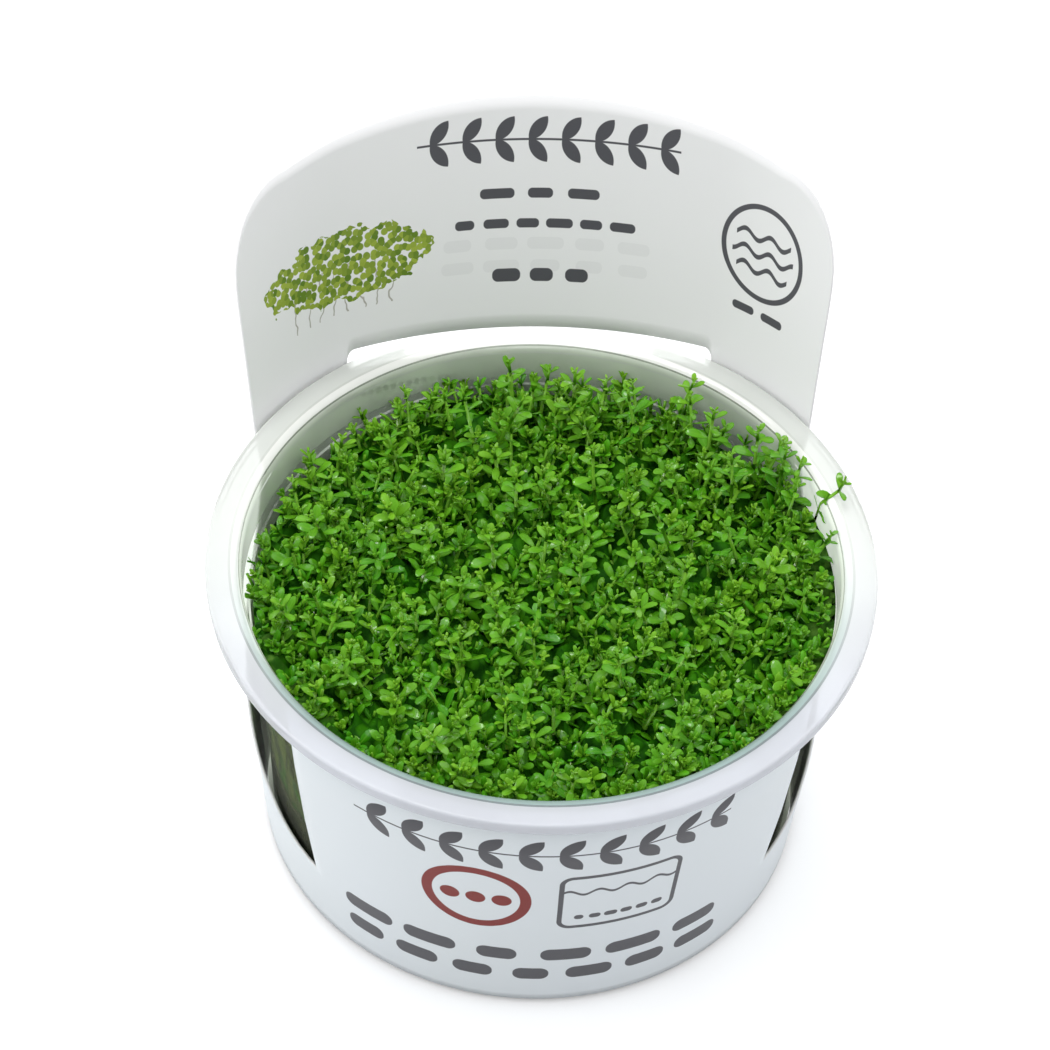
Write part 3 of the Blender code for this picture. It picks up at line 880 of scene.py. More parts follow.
def make_wave_mark():
    """A wavy line."""
    inputs = {"Across": 0.0, "Height": 0.0, "Half Width": 5.0, "Swing": 0.5, "Pitch": 4.0, "Line": 0.5}
    group, place, given, wanted = new_group("printed_wave", inputs, {"Mask": FLOAT})
    across, height, half_width, swing, pitch, line = given
    x, y = split(group, place)[:2]
    x = x - across
    wave = (x / pitch * (2 * math.pi)).step("SINE") * swing
    distance = abs(y - height - wave) - line * 0.5
    fill(group, wanted, {"Mask": inside(distance) * (abs(x) < half_width)})
    return group


frame_mark = make_frame_mark()
words_mark = make_words_mark()
border_mark = make_border_mark()
wave_mark = make_wave_mark()
print("marks:", [group.name for group in bpy.data.node_groups])

# %% [markdown]
# The picture of a plant on the panel is a group too. It heaps round leaves from Voronoi cells inside a low
# mound with an uneven edge, and hangs thin roots under it. Both are measured in shares of the mound's size.

# %% The printed plant
UNEVEN_EDGE = 1.3
MOUND_EDGE = 1.45
ROOT_PITCH_MM = 2.3
ROOT_DRIFT_MM = 3.0
ROOTS_DOWN, ROOTS_ASIDE = -1.25, 0.6


def make_plant_mark():
    inputs = {"Across": 0.0, "Height": 0.0, "Half Width": 14.0, "Half Height": 6.0}
    outputs = {"Leaves": FLOAT, "Roots": FLOAT, "Tone": FLOAT}
    group, place, given, wanted = new_group("printed_plant", inputs, outputs)
    across, height, half_width, half_height = given
    x, y = split(group, place)[:2]
    side = (x - across) / half_width
    up = (y - height) / half_height
    from_edge = side.step("MULTIPLY_ADD", side, up * up) - MOUND_EDGE
    mound = noise(group, place, 0.35).step("MULTIPLY_ADD", UNEVEN_EDGE, from_edge) < 0.0
    cells = add(group, "TexVoronoi", {"Vector": place, "Scale": 1.15}, voronoi_dimensions="2D")
    leaves = 1.0 - Number(group, cells["Distance"]).ramp(0.56, 0.68)
    bent = noise(group, place, 0.3).step("MULTIPLY_ADD", ROOT_DRIFT_MM, x)
    thin = 1.0 - abs((bent / ROOT_PITCH_MM).step("FRACT") - 0.5).ramp(0.03, 0.07)
    hanging = (up < 0.0) * (up > ROOTS_DOWN) * (abs(side) < ROOTS_ASIDE)
    tone = add(group, "SeparateColor", {0: cells["Color"]})[0]
    fill(group, wanted, {"Leaves": leaves * mound, "Roots": thin * hanging, "Tone": tone})
    return group


plant_mark = make_plant_mark()
print("plant mark sockets:", [item.name for item in plant_mark.interface.items_tree])

# %% [markdown]
# ## The card's finish
#
# The card is bright white plastic-coated paper with a soft gloss. Its two sides are printed differently, so
# they are two materials: Solidify gives the sheet its thickness and puts the second material on the inner
# side and a third, plain one on the cut edge. Each side's marks are listed by ink. A mark's numbers are
# millimetres on the flat card, in the order of its group's inputs.

# %% Print the card
INK = (0.075, 0.075, 0.085)
RED = (0.20, 0.009, 0.004)
ROOT_GREY = (0.42, 0.40, 0.36)
LEAF_DARK, LEAF_LIGHT = (0.10, 0.19, 0.01), (0.33, 0.42, 0.05)
GHOST = 0.07
FRONT_COOLNESS = 0.05
FRONT_BLACK = [
    # border: start, end, height, pitch, leaf
    (border_mark, -26.5, 24.0, 39.6, 5.05, 4.3),
    # frame of the fish tank: across, height, half width, half height, corner, line
    (frame_mark, 9.4, 27.3, 8.0, 6.4, 1.6, 0.7),
    # its water: across, height, half width, swing, pitch, line
    (wave_mark, 9.4, 29.8, 7.9, 0.5, 4.0, 0.55),
    # bars, of which the first are the tank's ground: start, end, height, half height, pitch, draw
    (words_mark, 3.0, 16.0, 23.4, 0.55, 2.2, 4.0),
    (words_mark, -31.5, 28.0, 13.4, 1.5, 9.9, 2.0),
    (words_mark, -31.5, 28.0, 8.2, 1.5, 8.5, 9.0),
]
FRONT_RED = [
    (frame_mark, -9.9, 27.6, 6.7, 6.7, 6.7, 1.5),
    (frame_mark, -13.4, 27.6, 1.35, 1.35, 1.35, 0.0),
    (frame_mark, -9.9, 27.6, 1.35, 1.35, 1.35, 0.0),
    (frame_mark, -6.4, 27.6, 1.35, 1.35, 1.35, 0.0),
]
PANEL_BLACK = [
    (border_mark, -17.0, 22.0, 81.4, 4.87, 3.9),
    (words_mark, -8.0, 11.2, 73.5, 0.75, 6.4, 3.0),
    (words_mark, -12.0, 16.2, 69.0, 0.7, 4.7, 12.0),
    (words_mark, -6.0, 10.0, 61.2, 1.0, 5.3, 25.0),
    (words_mark, 30.6, 40.8, 61.3, 0.6, 5.1, 31.0),
    (words_mark, -33.0, -11.0, 45.4, 0.6, 1.25, 77.0),
    (frame_mark, 35.6, 70.2, 6.6, 6.6, 6.6, 0.75),
    (wave_mark, 35.6, 72.4, 4.6, 0.55, 4.2, 0.7),
    (wave_mark, 35.6, 70.0, 5.2, 0.55, 4.2, 0.7),
    (wave_mark, 35.6, 67.6, 4.4, 0.55, 4.2, 0.7),
]
PANEL_GHOST = [
    (words_mark, -14.0, 19.0, 66.0, 0.9, 6.6, 41.0),
    (words_mark, -14.0, 19.0, 62.6, 0.9, 6.6, 57.0),
]
PANEL_PLANT = (-28.5, 66.5, 15.0, 5.8)


def printed(tree, flat, marks):
    """One mask from a list of marks."""
    total = None
    for group, *numbers in marks:
        mask = Number(tree, use(tree, group, dict(enumerate((flat, *numbers))))["Mask"])
        total = total.step("MAXIMUM", mask) if total else mask
    return total


def card_base(name, uv_map, coolness):
    """The white card before it is printed, with its tree, shader, place in millimetres and colour."""
    material, tree, shader = new_material(name)
    place = object_place(tree)
    flat = add(tree, "UVMap", uv_map=uv_map)["UV"]
    fibre = {"Place": place, "Scale": 900.0, "Depth": 0.00001, "Gloss": 0.38, "Spread": 0.10}
    dull, bright = (0.79 - coolness, 0.79, 0.80), (0.83 - coolness, 0.83, 0.83 + coolness)
    colour = blend(tree, noise(tree, place, 25.0), dull, bright)
    roughness = use(tree, grain, fibre)["Roughness"]
    fill(tree, shader, {"Base Color": colour, "Specular IOR Level": 0.35, "Roughness": roughness})
    return material, tree, shader, flat, colour


def outer_card():
    """The side that faces out, with the print of its front."""
    material, tree, shader, flat, colour = card_base("card_outer", "from_front_mm", FRONT_COOLNESS)
    colour = blend(tree, printed(tree, flat, FRONT_BLACK), colour, INK)
    colour = blend(tree, printed(tree, flat, FRONT_RED), colour, RED)
    fill(tree, shader, {"Base Color": colour})
    return material


def inner_card():
    """The side that faces the cup, whose upper part is the panel's front."""
    material, tree, shader, flat, colour = card_base("card_inner", "from_back_mm", 0.0)
    plant = use(tree, plant_mark, dict(enumerate((flat, *PANEL_PLANT))))
    colour = blend(tree, printed(tree, flat, PANEL_GHOST) * GHOST, colour, INK)
    colour = blend(tree, plant["Roots"], colour, ROOT_GREY)
    colour = blend(tree, plant["Leaves"], colour, blend(tree, plant["Tone"], LEAF_DARK, LEAF_LIGHT))
    colour = blend(tree, printed(tree, flat, PANEL_BLACK), colour, INK)
    fill(tree, shader, {"Base Color": colour})
    return material


def make_label():
    """The printed card, with its real thickness and a plain cut edge."""
    materials = [outer_card(), inner_card(), card_base("card_edge", "from_back_mm", 0.0)[0]]
    label = add_piece("card_label", sheet_bm, materials, ["label"], smooth_angle=40)
    thickness = label.modifiers.new("card_thickness", "SOLIDIFY")
    thickness.thickness = CARD
    thickness.offset = 0.0
    thickness.use_even_offset = True
    thickness.material_offset = 1
    thickness.material_offset_rim = 2


make_label()

# %% [markdown]
# ## The growing gel
#
# The roots stand in a set jelly. It is seen only through the low part of the windows and from below: dark,
# wet and brown-green, with pale roots. Its solid already has the right shape, so it is turned again only to
# soften its edges, and the roots are streaks in the material.

# %% Make the gel
GEL_STEPS = 96
GEL_CUTS = 3
GEL_FOOT = 0.0024
GEL_TAPER = 0.0003
GEL_SAG = 0.0010
CREEP_WIDTH, CREEP_HEIGHT = 0.0010, 0.0007
GEL_COLOURS = (0.022, 0.028, 0.010), (0.075, 0.070, 0.028)
GEL_ROOTS = (0.30, 0.30, 0.17)


def gel_finish():
    """Dark wet jelly with pale streaks of root."""
    material, tree, shader = new_material("growing_gel")
    place = object_place(tree)
    wet = use(tree, grain, {"Place": place, "Scale": 260.0, "Depth": 0.0001, "Gloss": 0.22, "Spread": 0.2})
    dark = blend(tree, noise(tree, place, 120.0, 3.0), *GEL_COLOURS)
    roots = strands(tree, place, 0.22, 700.0, 2.0).ramp(0.60, 0.70)
    fill(tree, shader, {
        "Base Color": blend(tree, roots, dark, GEL_ROOTS),
        "Roughness": wet["Roughness"], "Normal": wet["Normal"],
    })
    return material


def make_gel():
    low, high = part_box("growing_gel")
    wide = high.x
    bm = turned([
        # distance from the axis, height, radius of the corner in millimetres
        (0, low.z, 0),
        (wide - GEL_FOOT, low.z, 0.8),
        (wide - GEL_TAPER, low.z + GEL_FOOT, 1.0),
        (wide, high.z, 0.2),
        (wide - CREEP_WIDTH, high.z - CREEP_HEIGHT, 0.5),
        (0, high.z - GEL_SAG, 0),
    ], GEL_CUTS, GEL_STEPS)
    add_piece("gel_bed", bm, [gel_finish()], ["growing_gel"], smooth_angle=50)


make_gel()

# %% [markdown]
# ## Leaf finish
#
# The leaves are fresh yellow-green where young and deeper green where old, with a paler rib down the
# middle, and they are wet, so they glint. Light also passes through so thin a leaf. Scattering below the
# surface would show that, but it looks the same here as a lighter, yellower green, which renders faster.
# Each leaf carries its age and each shoot its own tone as attributes on the mesh, and the leaf's UV map
# runs across it and along its rib. A shoot's tone is partly chance and partly painted light: shoots on high
# clumps and towards the back are lighter. The tangle under them is darker. Where it is pressed to the wall
# it shows brown stems low down and a paler strip at the top.

# %% Make the leaf materials
YOUNG_LEAF = (0.105, 0.325, 0.008), (0.200, 0.430, 0.018)
OLD_LEAF = (0.050, 0.305, 0.002), (0.118, 0.415, 0.007)
LEAF_RIB = (0.205, 0.490, 0.030)
DULL_LEAF = (0.78, 0.84, 0.70)
SHADED_LEAF = (0.012, 0.106, 0.000), (0.042, 0.210, 0.003)
SHADED_GAP = (0.007, 0.066, 0.000)
PRESSED_STEMS = (0.022, 0.024, 0.010), (0.135, 0.170, 0.045)
PRESSED_STRIP = (0.016, 0.080, 0.003), (0.085, 0.205, 0.025)
STEMS_BELOW = 0.0405, 0.0440
STRIP_ABOVE = 0.0444, 0.0454


def leaf_finish():
    material, tree, shader = new_material("fresh_leaf")
    place = object_place(tree)
    across, along = split(tree, add(tree, "UVMap", uv_map="leaf")["UV"])[:2]
    age, tone = [add(tree, "Attribute", attribute_name=name)["Fac"] for name in ("age", "tone")]
    # The tone attribute holds painted light as well as each shoot's own tone
    green = blend(tree, age, blend(tree, tone, *YOUNG_LEAF), blend(tree, tone, *OLD_LEAF))
    rib = (1.0 - abs(across - 0.5).ramp(0.02, 0.13)) * along.step("MULTIPLY_ADD", -0.45, 0.55)
    green = blend(tree, rib, green, LEAF_RIB)
    cloud = blend(tree, noise(tree, place, 420.0, 1.0).ramp(0.35, 0.75), DULL_LEAF, WHITE)
    skin = {"Place": place, "Scale": 1500.0, "Depth": 0.00004, "Gloss": 0.42, "Spread": 0.30}
    wet = use(tree, grain, skin)
    fill(tree, shader, {
        "Base Color": blend(tree, 1.0, green, cloud, "MULTIPLY"),
        "Roughness": wet["Roughness"], "Normal": wet["Normal"], "Specular IOR Level": 0.22,
        "Coat Weight": noise(tree, place, 800.0, 0.0).ramp(0.57, 0.63), "Coat Roughness": COAT_ROUGHNESS,
    })
    return material


def tangle_finish():
    """Old leaves in deep shade on top, and brown stems pressed to the wall at the side."""
    material, tree, shader = new_material("leaf_tangle")
    place = object_place(tree)
    height = split(tree, place)[2]
    cells = add(tree, "TexVoronoi", {"Vector": place, "Scale": 520.0})
    chance = add(tree, "SeparateColor", {0: cells["Color"]})[0]
    gap = Number(tree, cells["Distance"]).ramp(0.35, 0.75)
    colour = blend(tree, gap, blend(tree, chance, *SHADED_LEAF), SHADED_GAP)
    streaks = strands(tree, place, 0.16, 620.0, 3.0).ramp(0.36, 0.66)
    facing_up = split(tree, add(tree, "NewGeometry")["Normal"])[2]
    pressed = (1.0 - facing_up.ramp(0.15, 0.45)) * (1.0 - height.ramp(*STEMS_BELOW))
    pressed = pressed * (1.0 - noise(tree, place, 130.0).ramp(0.52, 0.66))
    colour = blend(tree, pressed, colour, blend(tree, streaks, *PRESSED_STEMS))
    colour = blend(tree, height.ramp(*STRIP_ABOVE), colour, blend(tree, streaks, *PRESSED_STRIP))
    bump = add(tree, "Bump", {"Strength": 0.8, "Distance": 0.0006, "Height": cells["Distance"]}, invert=True)
    fill(tree, shader, {
        "Base Color": colour, "Normal": bump[0], "Roughness": 0.6, "Specular IOR Level": 0.06,
    })
    return material


fresh_leaf = leaf_finish()
leaf_tangle = tangle_finish()
print("leaf materials:", fresh_leaf.name, leaf_tangle.name)

# %% [markdown]
# ## The tangle below the tips
#
# Under the tips the plants are one dark mass that fills the cup down to the gel. Only its rough top and its
# side behind the windows are ever glimpsed, so it is one closed lump: an even disc of triangles, heaved by
# noise and pushed up at the wall, with a side that follows the wall.

# %% Make the tangle
TANGLE_TOP = 0.0425
TANGLE_RELIEF = 0.0020
RELIEF_SHARES = (0.2, 0.2, 1.0)
TANGLE_AT_WALL = 0.0428
TANGLE_UP_WALL = 0.0462
UP_WALL_MIDDLE, UP_WALL_HALF, UP_WALL_FADE = 160, 108, 18
EDGE_SHARE = 0.1
SIDE_RELIEF = 0.0004
WALL_GAP = 0.0003
TANGLE_RINGS = 30
TANGLE_SIDE_ROWS = 14
SEED = 5


def even_disc(radius, rings):
    """A flat disc of even triangles: a hexagon's lattice, its six sides pushed out to a circle."""
    bm = bmesh.new()
    bmesh.ops.create_circle(bm, cap_ends=True, cap_tris=True, segments=6, radius=radius)
    bmesh.ops.subdivide_edges(bm, edges=bm.edges, cuts=rings - 1, use_grid_fill=True)
    sixth = math.pi / 3
    for vert in bm.verts:
        if vert.co.length > 0:
            from_side = (turn_of(vert) - sixth / 2) % sixth - sixth / 2
            vert.co *= math.cos(from_side) / math.cos(sixth / 2)
    return bm


def inside_wall(height):
    """The radius of the wall's inner side at a height, less a small gap."""
    if height > STEP_HEIGHT + STEP_RISE:
        down = min(1.0, max(0.0, CUP_TOP - height) / ROLL)
        return INNER_TOP - WALL_GAP + ROLL * (1 - math.sqrt(down)) ** 2
    share = min(1.0, (height - CUP_FLOOR) / (STEP_HEIGHT - CUP_FLOOR))
    return WALL_LOW + (WALL_AT_STEP - WALL_LOW) * share - WALL - WALL_GAP


def tangle_border(turn):
    """How high the tangle is pressed up the wall: more at the right and in front than behind."""
    from_middle = abs((math.degrees(math.pi / 2 - turn) - UP_WALL_MIDDLE + 180) % 360 - 180)
    share = clamped((UP_WALL_HALF - from_middle) / UP_WALL_FADE)
    return TANGLE_AT_WALL + (TANGLE_UP_WALL - TANGLE_AT_WALL) * share


def make_tangle(rng):
    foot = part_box("plant_mat")[0].z
    wide = inside_wall(TANGLE_AT_WALL)
    bm = even_disc(wide, TANGLE_RINGS)
    for vert in bm.verts:
        share = max(0.0, (vert.co.xy.length / wide - (1 - EDGE_SHARE)) / EDGE_SHARE)
        border = tangle_border(turn_of(vert))
        vert.co.z = TANGLE_TOP + (border - TANGLE_TOP) * share
        if vert.is_boundary:
            vert.co.xy *= inside_wall(border) / vert.co.xy.length
        else:
            vert.co += Vector([rng.uniform(-1, 1) * TANGLE_RELIEF * part for part in RELIEF_SHARES])
    rim = [edge for edge in bm.edges if edge.is_boundary]
    for row in range(1, TANGLE_SIDE_ROWS + 1):
        drawn = bmesh.ops.extrude_edge_only(bm, edges=rim)["geom"]
        rim = [item for item in drawn if isinstance(item, bmesh.types.BMEdge) and item.is_boundary]
        share = row / TANGLE_SIDE_ROWS
        ring = sorted({vert for edge in rim for vert in edge.verts}, key=turn_of)
        for vert in ring:
            turn = turn_of(vert)
            level = tangle_border(turn) + (foot - tangle_border(turn)) * share
            around = inside_wall(level) - rng.uniform(0, SIDE_RELIEF)
            vert.co = Vector((math.cos(turn) * around, math.sin(turn) * around, level))
    bm.faces.new(ring)
    bmesh.ops.triangulate(bm, faces=bm.faces)
    bmesh.ops.recalc_face_normals(bm, faces=bm.faces)
    add_piece("leaf_tangle", bm, [leaf_tangle], ["plant_mat"], smooth_angle=180)


rng = random.Random(SEED)
make_tangle(rng)

# %% [markdown]
# ## One shoot
#
# A shoot is a juicy upright stem with pairs of leaves, each pair crossing the one below. The leaves are
# spoon-shaped with a round end, about three millimetres long, flat and wide low down, small and folded up
# round the bud at the tip. A leaf starts as a coarse ball, because that is closed and has a base and a tip;
# it is drawn out along its rib, flattened and cupped. A stem is a small five-sided face drawn upwards. A few
# patterns of each kind are enough, because each copy is turned, leaned and scaled in its own way. Some are
# tall, with more pairs, for the places where the stems show, and some are plain low ones of old leaves,
# which fill the shade between the others and so have coarser leaves.

# %% Grow the pattern shoots
LEAF_THICKNESS = 0.00026
LEAF_RINGS = 6
LEAF_SWELL = 1.7
CUPPING = (0.05, 0.30)
DROOP = (-0.04, 0.24)
LEAF_TWIST = 0.3
LEAF_ROLL_DEGREES = 18
STEM_RADIUS = 0.00032
STEM_THINNING = 0.4
STEM_BEND = 0.0022
STEM_SIDES = 5
STEM_STEPS = 7
STEM_AGE = 0.25
STEM_UV = (0.5, -0.6)
PAIRS_BELOW_TIP_MM = (0.15, 0.7, 1.7, 3.1, 5.0, 7.2, 9.6)
PAIR_LENGTHS_MM = (0.8, 1.4, 2.1, 2.7, 3.1, 3.1, 3.0)
PAIR_RISES = (70, 60, 48, 38, 28, 18, 8)
STRETCHES = (0.85, 1.2)
SLIMNESSES = (0.36, 0.50)
LEAF_SIZES = (0.82, 1.12)
PAIR_TURN = 0.3
RISE_SHAKE = 16
SHOOT_LENGTH = 0.0135
KINDS = {
    # name: how many patterns, first pair, last pair, sides of a leaf, how steeply the leaves rise
    "tall": (5, 0, 7, 8, 0.7),
    "short": (11, 0, 5, 8, 1.0),
    "low": (6, 2, 5, 6, 1.0),
}


def leaf_outline(share):
    """Half the leaf's width along its rib, as a share of its greatest: narrow foot, round end."""
    return math.sqrt(math.sin(math.pi * share**LEAF_SWELL)) if 0 < share < 1 else 0.0


def add_leaf(bm, layers, sides, length, width, rise, turn, foot, age, rng):
    """One closed leaf, drawn out of a coarse ball."""
    made = bmesh.ops.create_uvsphere(bm, u_segments=sides, v_segments=LEAF_RINGS, radius=1.0)
    uv, age_layer = layers
    cup = rng.uniform(*CUPPING) * width
    droop = rng.uniform(*DROOP) * length
    twist = rng.uniform(-LEAF_TWIST, LEAF_TWIST)
    flat = {}
    for vert in made["verts"]:
        share = clamped((vert.co.z + 1) / 2)
        half = leaf_outline(share)
        side, up = math.cos(turn_of(vert)), math.sin(turn_of(vert))
        flat[vert] = (0.5 + 0.5 * side, share)
        x = side * half * width / 2
        swell = up * half**0.5 * LEAF_THICKNESS / 2
        z = swell + cup * (side * half) ** 2 - droop * share**2 + twist * x * share
        vert.co = Vector((x, share * length, z))
        vert[age_layer] = age
    for face in {face for vert in made["verts"] for face in vert.link_faces}:
        for loop in face.loops:
            loop[uv].uv = flat[loop.vert]
    tilt = Matrix.Rotation(math.radians(rise), 4, "X")
    roll = Matrix.Rotation(math.radians(rng.uniform(-LEAF_ROLL_DEGREES, LEAF_ROLL_DEGREES)), 4, "Y")
    place = Matrix.Translation(foot) @ Matrix.Rotation(turn, 4, "Z") @ tilt @ roll
    bmesh.ops.transform(bm, matrix=place, verts=made["verts"])


def add_stem(bm, bend):
    """A five-sided stem that bows a little and thins towards its tip."""
    made = bmesh.ops.create_circle(bm, cap_ends=True, segments=STEM_SIDES, radius=STEM_RADIUS)
    face = made["verts"][0].link_faces[0]
    for step in range(1, STEM_STEPS + 1):
        drawn = bmesh.ops.extrude_face_region(bm, geom=[face], use_keep_orig=step == 1)["geom"]
        face = next(item for item in drawn if isinstance(item, bmesh.types.BMFace))
        share = step / STEM_STEPS
        centre = bend * share**2 + Vector((0, 0, SHOOT_LENGTH * share))
        middle = face.calc_center_median()
        for vert in face.verts:
            spoke = (vert.co - middle).normalized() * STEM_RADIUS * (1 - STEM_THINNING * share)
            vert.co = centre + spoke


def make_pattern(kind, index, rng):
    """A mesh of one shoot, its foot at the origin."""
    first_pair, last_pair, sides, steepness = KINDS[kind][1:]
    bm = bmesh.new()
    uv, age_layer = layers = (bm.loops.layers.uv.new("leaf"), bm.verts.layers.float.new("age"))
    bend = Vector((rng.uniform(-1, 1), rng.uniform(-1, 1), 0)) * STEM_BEND
    add_stem(bm, bend)
    for vert in bm.verts:
        vert[age_layer] = STEM_AGE
    for face in bm.faces:
        for loop in face.loops:
            loop[uv].uv = STEM_UV
    stretch = rng.uniform(*STRETCHES)
    slim = rng.uniform(*SLIMNESSES)
    for pair in range(first_pair, last_pair):
        height = SHOOT_LENGTH - PAIRS_BELOW_TIP_MM[pair] * stretch / 1000
        share = height / SHOOT_LENGTH
        foot = bend * share**2 + Vector((0, 0, height))
        turn = pair * math.pi / 2 + rng.uniform(-PAIR_TURN, PAIR_TURN)
        age = min(1.0, (pair + 2 * first_pair) / (len(PAIR_RISES) - 1))
        for side in (0, math.pi):
            length = PAIR_LENGTHS_MM[pair] / 1000 * rng.uniform(*LEAF_SIZES)
            rise = PAIR_RISES[pair] * steepness + rng.uniform(-RISE_SHAKE, RISE_SHAKE)
            add_leaf(bm, layers, sides, length, length * slim, rise, turn + side, foot, age, rng)
    bmesh.ops.recalc_face_normals(bm, faces=bm.faces)
    mesh = bpy.data.meshes.new(f"{kind}_pattern_{index}")
    bm.to_mesh(mesh)
    bm.free()
    return mesh


patterns = {kind: [make_pattern(kind, index, rng) for index in range(KINDS[kind][0])] for kind in KINDS}
for kind, meshes in patterns.items():
    print("triangles in a", kind, "shoot:", sum(len(face.vertices) - 2 for face in meshes[0].polygons))

# %% [markdown]
# ## Planting the tub
#
# The tallest shoots stand where the solids' standing shoots are, and a few more stand along the back. The
# others fill the cup between them: their places are a lattice of triangles shaken by chance, with a few left
# out, and their tips follow a gently rolling top. A second lattice of low shoots fills the shade between
# them, and two rows follow the wall. Near the wall they lean out, and leaves that would pass through it are
# pressed flat against it. Copies of the pattern shoots are joined into one mesh for each fifth of the cup,
# so every piece stays light.

# %% Plant the shoots
SPACING = 0.0034
LOW_SPACING = 0.0035
LATTICE_SHAKE = 0.34
PLANTED_RADIUS = 0.0400
FULLER_SIDE = Vector((0.90, -0.44))
FULLER_BY = 0.0012
CROWDED = 0.0018
LEFT_OUT = 0.05
CANOPY = 0.0483
CANOPY_ROLL = 0.0023
CANOPY_SHAKE = (-0.0030, 0.0027)
# Waves of the rolling top in radians per metre, across and back, where they start, and their shares
CLOSE_ACROSS, CLOSE_BACK, CLOSE_STARTS = 420, 380, (1.3, -0.4)
WIDE_ACROSS, WIDE_BACK, WIDE_START = 170, -260, 2.1
CLOSE_SHARE, WIDE_SHARE = 0.6, 0.4
TALL_FROM = 0.0502
LOW_CANOPY = 0.0458
LOW_SHAKE = (-0.0015, 0.0010)
WALL_ROWS = (
    # how many shoots, distance from the middle, height of the tips
    (88, 0.0406, 0.0478), (70, 0.0392, 0.0466),
)
WALL_TURN_SHAKE = 0.35
WALL_DISTANCE_SHAKE = 0.0008
WALL_TIP_SHAKE = (-0.0012, 0.0010)
SIZES = (0.90, 1.28)
ROOTED_BELOW = 0.0015
MOST_LEAN_DEGREES = 24
LEAN_AT_WALL_DEGREES = 5
LEANS_OUT_FROM = 0.8
LEAN_SPREAD = 1.2
# Tone also carries painted light: shoots on high clumps of the rolling top and towards the back are lighter
CLUMP_PAINTED_LIGHT = 0.30
BACK_PAINTED_LIGHT = 0.45
LIGHTEST = 1.2
SHARES_OF_CUP = 5
STANDING = [
    # angle from the back towards the right, distance from the middle in mm, tip height in mm
    (-2.0, 37.5, 54.5), (5.0, 37.0, 51.5), (16.0, 38.0, 51.0), (25.0, 38.0, 52.0), (36.0, 39.0, 55.0),
    (40.0, 38.5, 54.0), (47.0, 38.0, 50.5), (58.0, 39.5, 55.0), (64.0, 40.0, 55.5), (78.5, 44.4, 55.0),
    (61.0, 41.0, 53.5), (69.0, 41.5, 54.0), (72.0, 39.5, 52.5), (84.0, 41.0, 52.0), (-27.0, 37.5, 51.5),
    (-22.0, 38.0, 49.5), (-32.0, 38.0, 50.0), (-46.0, 39.0, 50.0), (-55.0, 39.5, 50.0), (-66.0, 39.5, 50.0),
]
solid_shoots = {name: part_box(name) for name in sorted(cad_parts) if name.startswith("shoot_")}


def roll_of(place):
    """The rolling of the plants' top, from -1 to 1."""
    across, back = CLOSE_STARTS
    close = math.sin(place.x * CLOSE_ACROSS + across) * math.cos(place.y * CLOSE_BACK + back)
    wide = math.sin(place.x * WIDE_ACROSS + place.y * WIDE_BACK + WIDE_START)
    return CLOSE_SHARE * close + WIDE_SHARE * wide


def fuller(spot):
    """How much farther out and higher the plants grow on the cup's fuller side, as a share."""
    return spot.normalized().dot(FULLER_SIDE)


def lattice(spacing, fuller_by, rng):
    """Places on a lattice of triangles, each shaken a little."""
    rows = int(PLANTED_RADIUS / spacing) + 2
    for row in range(-rows, rows + 1):
        for column in range(-rows, rows + 1):
            x = (column + row % 2 / 2) * spacing + rng.uniform(-1, 1) * spacing * LATTICE_SHAKE
            y = row * spacing * math.sqrt(0.75) + rng.uniform(-1, 1) * spacing * LATTICE_SHAKE
            spot = Vector((x, y))
            if spot.length < PLANTED_RADIUS + fuller_by * fuller(spot):
                yield spot


def planting(rng):
    """Lists each shoot's place, the height of its tip and its kind."""
    placed = []
    for low, high in solid_shoots.values():
        placed.append((Vector(((low.x + high.x) / 2, (low.y + high.y) / 2)), high.z, "tall"))
    for angle, distance, tip in STANDING:
        turn = math.radians(angle)
        placed.append((Vector((math.sin(turn), math.cos(turn))) * distance / 1000, tip / 1000, "tall"))
    for spot in lattice(SPACING, FULLER_BY, rng):
        tip = CANOPY + CANOPY_ROLL * roll_of(spot) + rng.uniform(*CANOPY_SHAKE)
        crowded = any((spot - other).length < CROWDED for other, height, kind in placed)
        if not crowded and rng.random() > LEFT_OUT:
            placed.append((spot, tip, "tall" if tip > TALL_FROM else "short"))
    for spot in lattice(LOW_SPACING, 0.0, rng):
        placed.append((spot, LOW_CANOPY + CANOPY_ROLL * roll_of(spot) + rng.uniform(*LOW_SHAKE), "low"))
    for count, distance, tip in WALL_ROWS:
        for step in range(count):
            turn = (step + rng.uniform(-WALL_TURN_SHAKE, WALL_TURN_SHAKE)) * 2 * math.pi / count
            outward = Vector((math.cos(turn), math.sin(turn)))
            spot = outward * (distance - rng.uniform(0, WALL_DISTANCE_SHAKE))
            height = tip + FULLER_BY * fuller(spot) + rng.uniform(*WALL_TIP_SHAKE)
            placed.append((spot, height, "short" if step % 2 else "low"))
    return placed


def press_to_wall(mesh):
    """Moves what would pass through the wall or the rolled edge back inside it."""
    for vert in mesh.vertices:
        most = inside_wall(vert.co.z)
        reach = vert.co.xy.length
        if vert.co.z < CUP_TOP and reach > most:
            vert.co.x *= most / reach
            vert.co.y *= most / reach


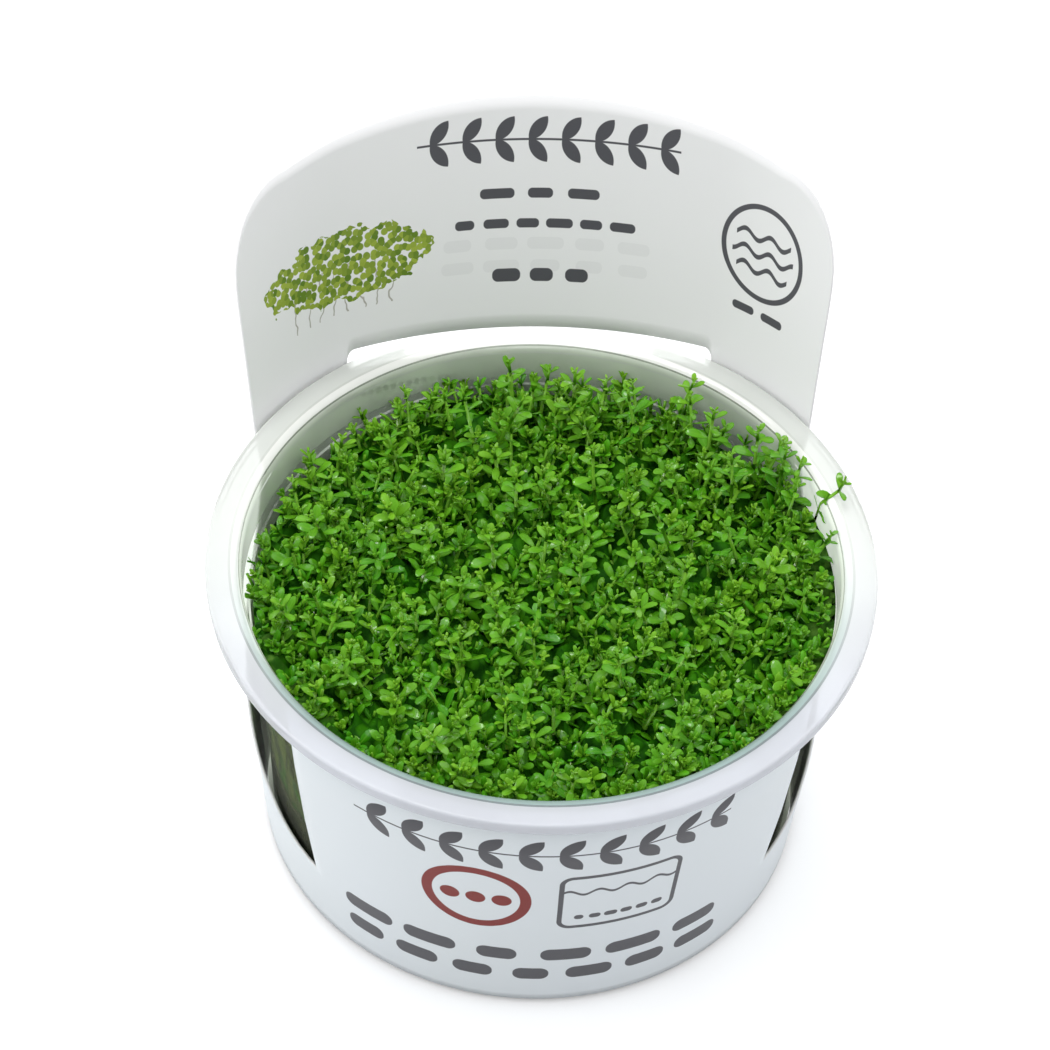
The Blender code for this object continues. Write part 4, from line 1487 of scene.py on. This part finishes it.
def plant(bm, spot, tip, kind, rng):
    """Adds one leaned, turned and scaled copy of a pattern shoot."""
    mesh = rng.choice(patterns[kind]).copy()
    size = rng.uniform(*SIZES)
    edge = spot.length / PLANTED_RADIUS
    lean = rng.uniform(0, MOST_LEAN_DEGREES) + LEAN_AT_WALL_DEGREES * edge**3
    direction = rng.uniform(0, 2 * math.pi)
    if edge > LEANS_OUT_FROM:
        direction = math.atan2(spot.y, spot.x) + rng.uniform(-LEAN_SPREAD, LEAN_SPREAD)
    tilt = Matrix.Rotation(math.radians(lean), 4, Vector((-math.sin(direction), math.cos(direction), 0)))
    spin = Matrix.Rotation(rng.uniform(0, 2 * math.pi), 4, "Z")
    size = max(size, (tip - TANGLE_TOP + ROOTED_BELOW) / SHOOT_LENGTH)
    foot = Vector((spot.x, spot.y, tip)) - tilt @ Vector((0, 0, SHOOT_LENGTH * size))
    mesh.transform(Matrix.Translation(foot) @ tilt @ spin @ Matrix.Scale(size, 4))
    press_to_wall(mesh)
    # Painted light in the tone: lighter on high clumps and towards the back, besides each shoot's chance
    tone = rng.random() + CLUMP_PAINTED_LIGHT * roll_of(spot) + BACK_PAINTED_LIGHT * max(0.0, spot.y / PLANTED_RADIUS)
    tones = mesh.attributes.new("tone", "FLOAT", "POINT").data
    tones.foreach_set("value", [clamped(tone, LIGHTEST)] * len(mesh.vertices))
    bm.from_mesh(mesh)
    bpy.data.meshes.remove(mesh)


def share_of_cup(spot):
    """Which fifth of the cup a place lies in."""
    return int((math.atan2(spot.y, spot.x) / (2 * math.pi) % 1.0) * SHARES_OF_CUP)


def make_shoots(rng):
    placed = planting(rng)
    print("shoots:", len(placed))
    for index in range(SHARES_OF_CUP):
        stands_for = [
            name for name, (low, high) in solid_shoots.items() if share_of_cup((low + high) / 2) == index
        ]
        bm = bmesh.new()
        for spot, tip, kind in placed:
            if share_of_cup(spot) == index:
                plant(bm, spot, tip, kind, rng)
        print("triangles:", sum(len(face.verts) - 2 for face in bm.faces))
        name = f"shoots_{index + 1}"
        add_piece(name, bm, [fresh_leaf], stands_for, smooth_angle=180)


make_shoots(rng)
for meshes in patterns.values():
    for mesh in meshes:
        bpy.data.meshes.remove(mesh)
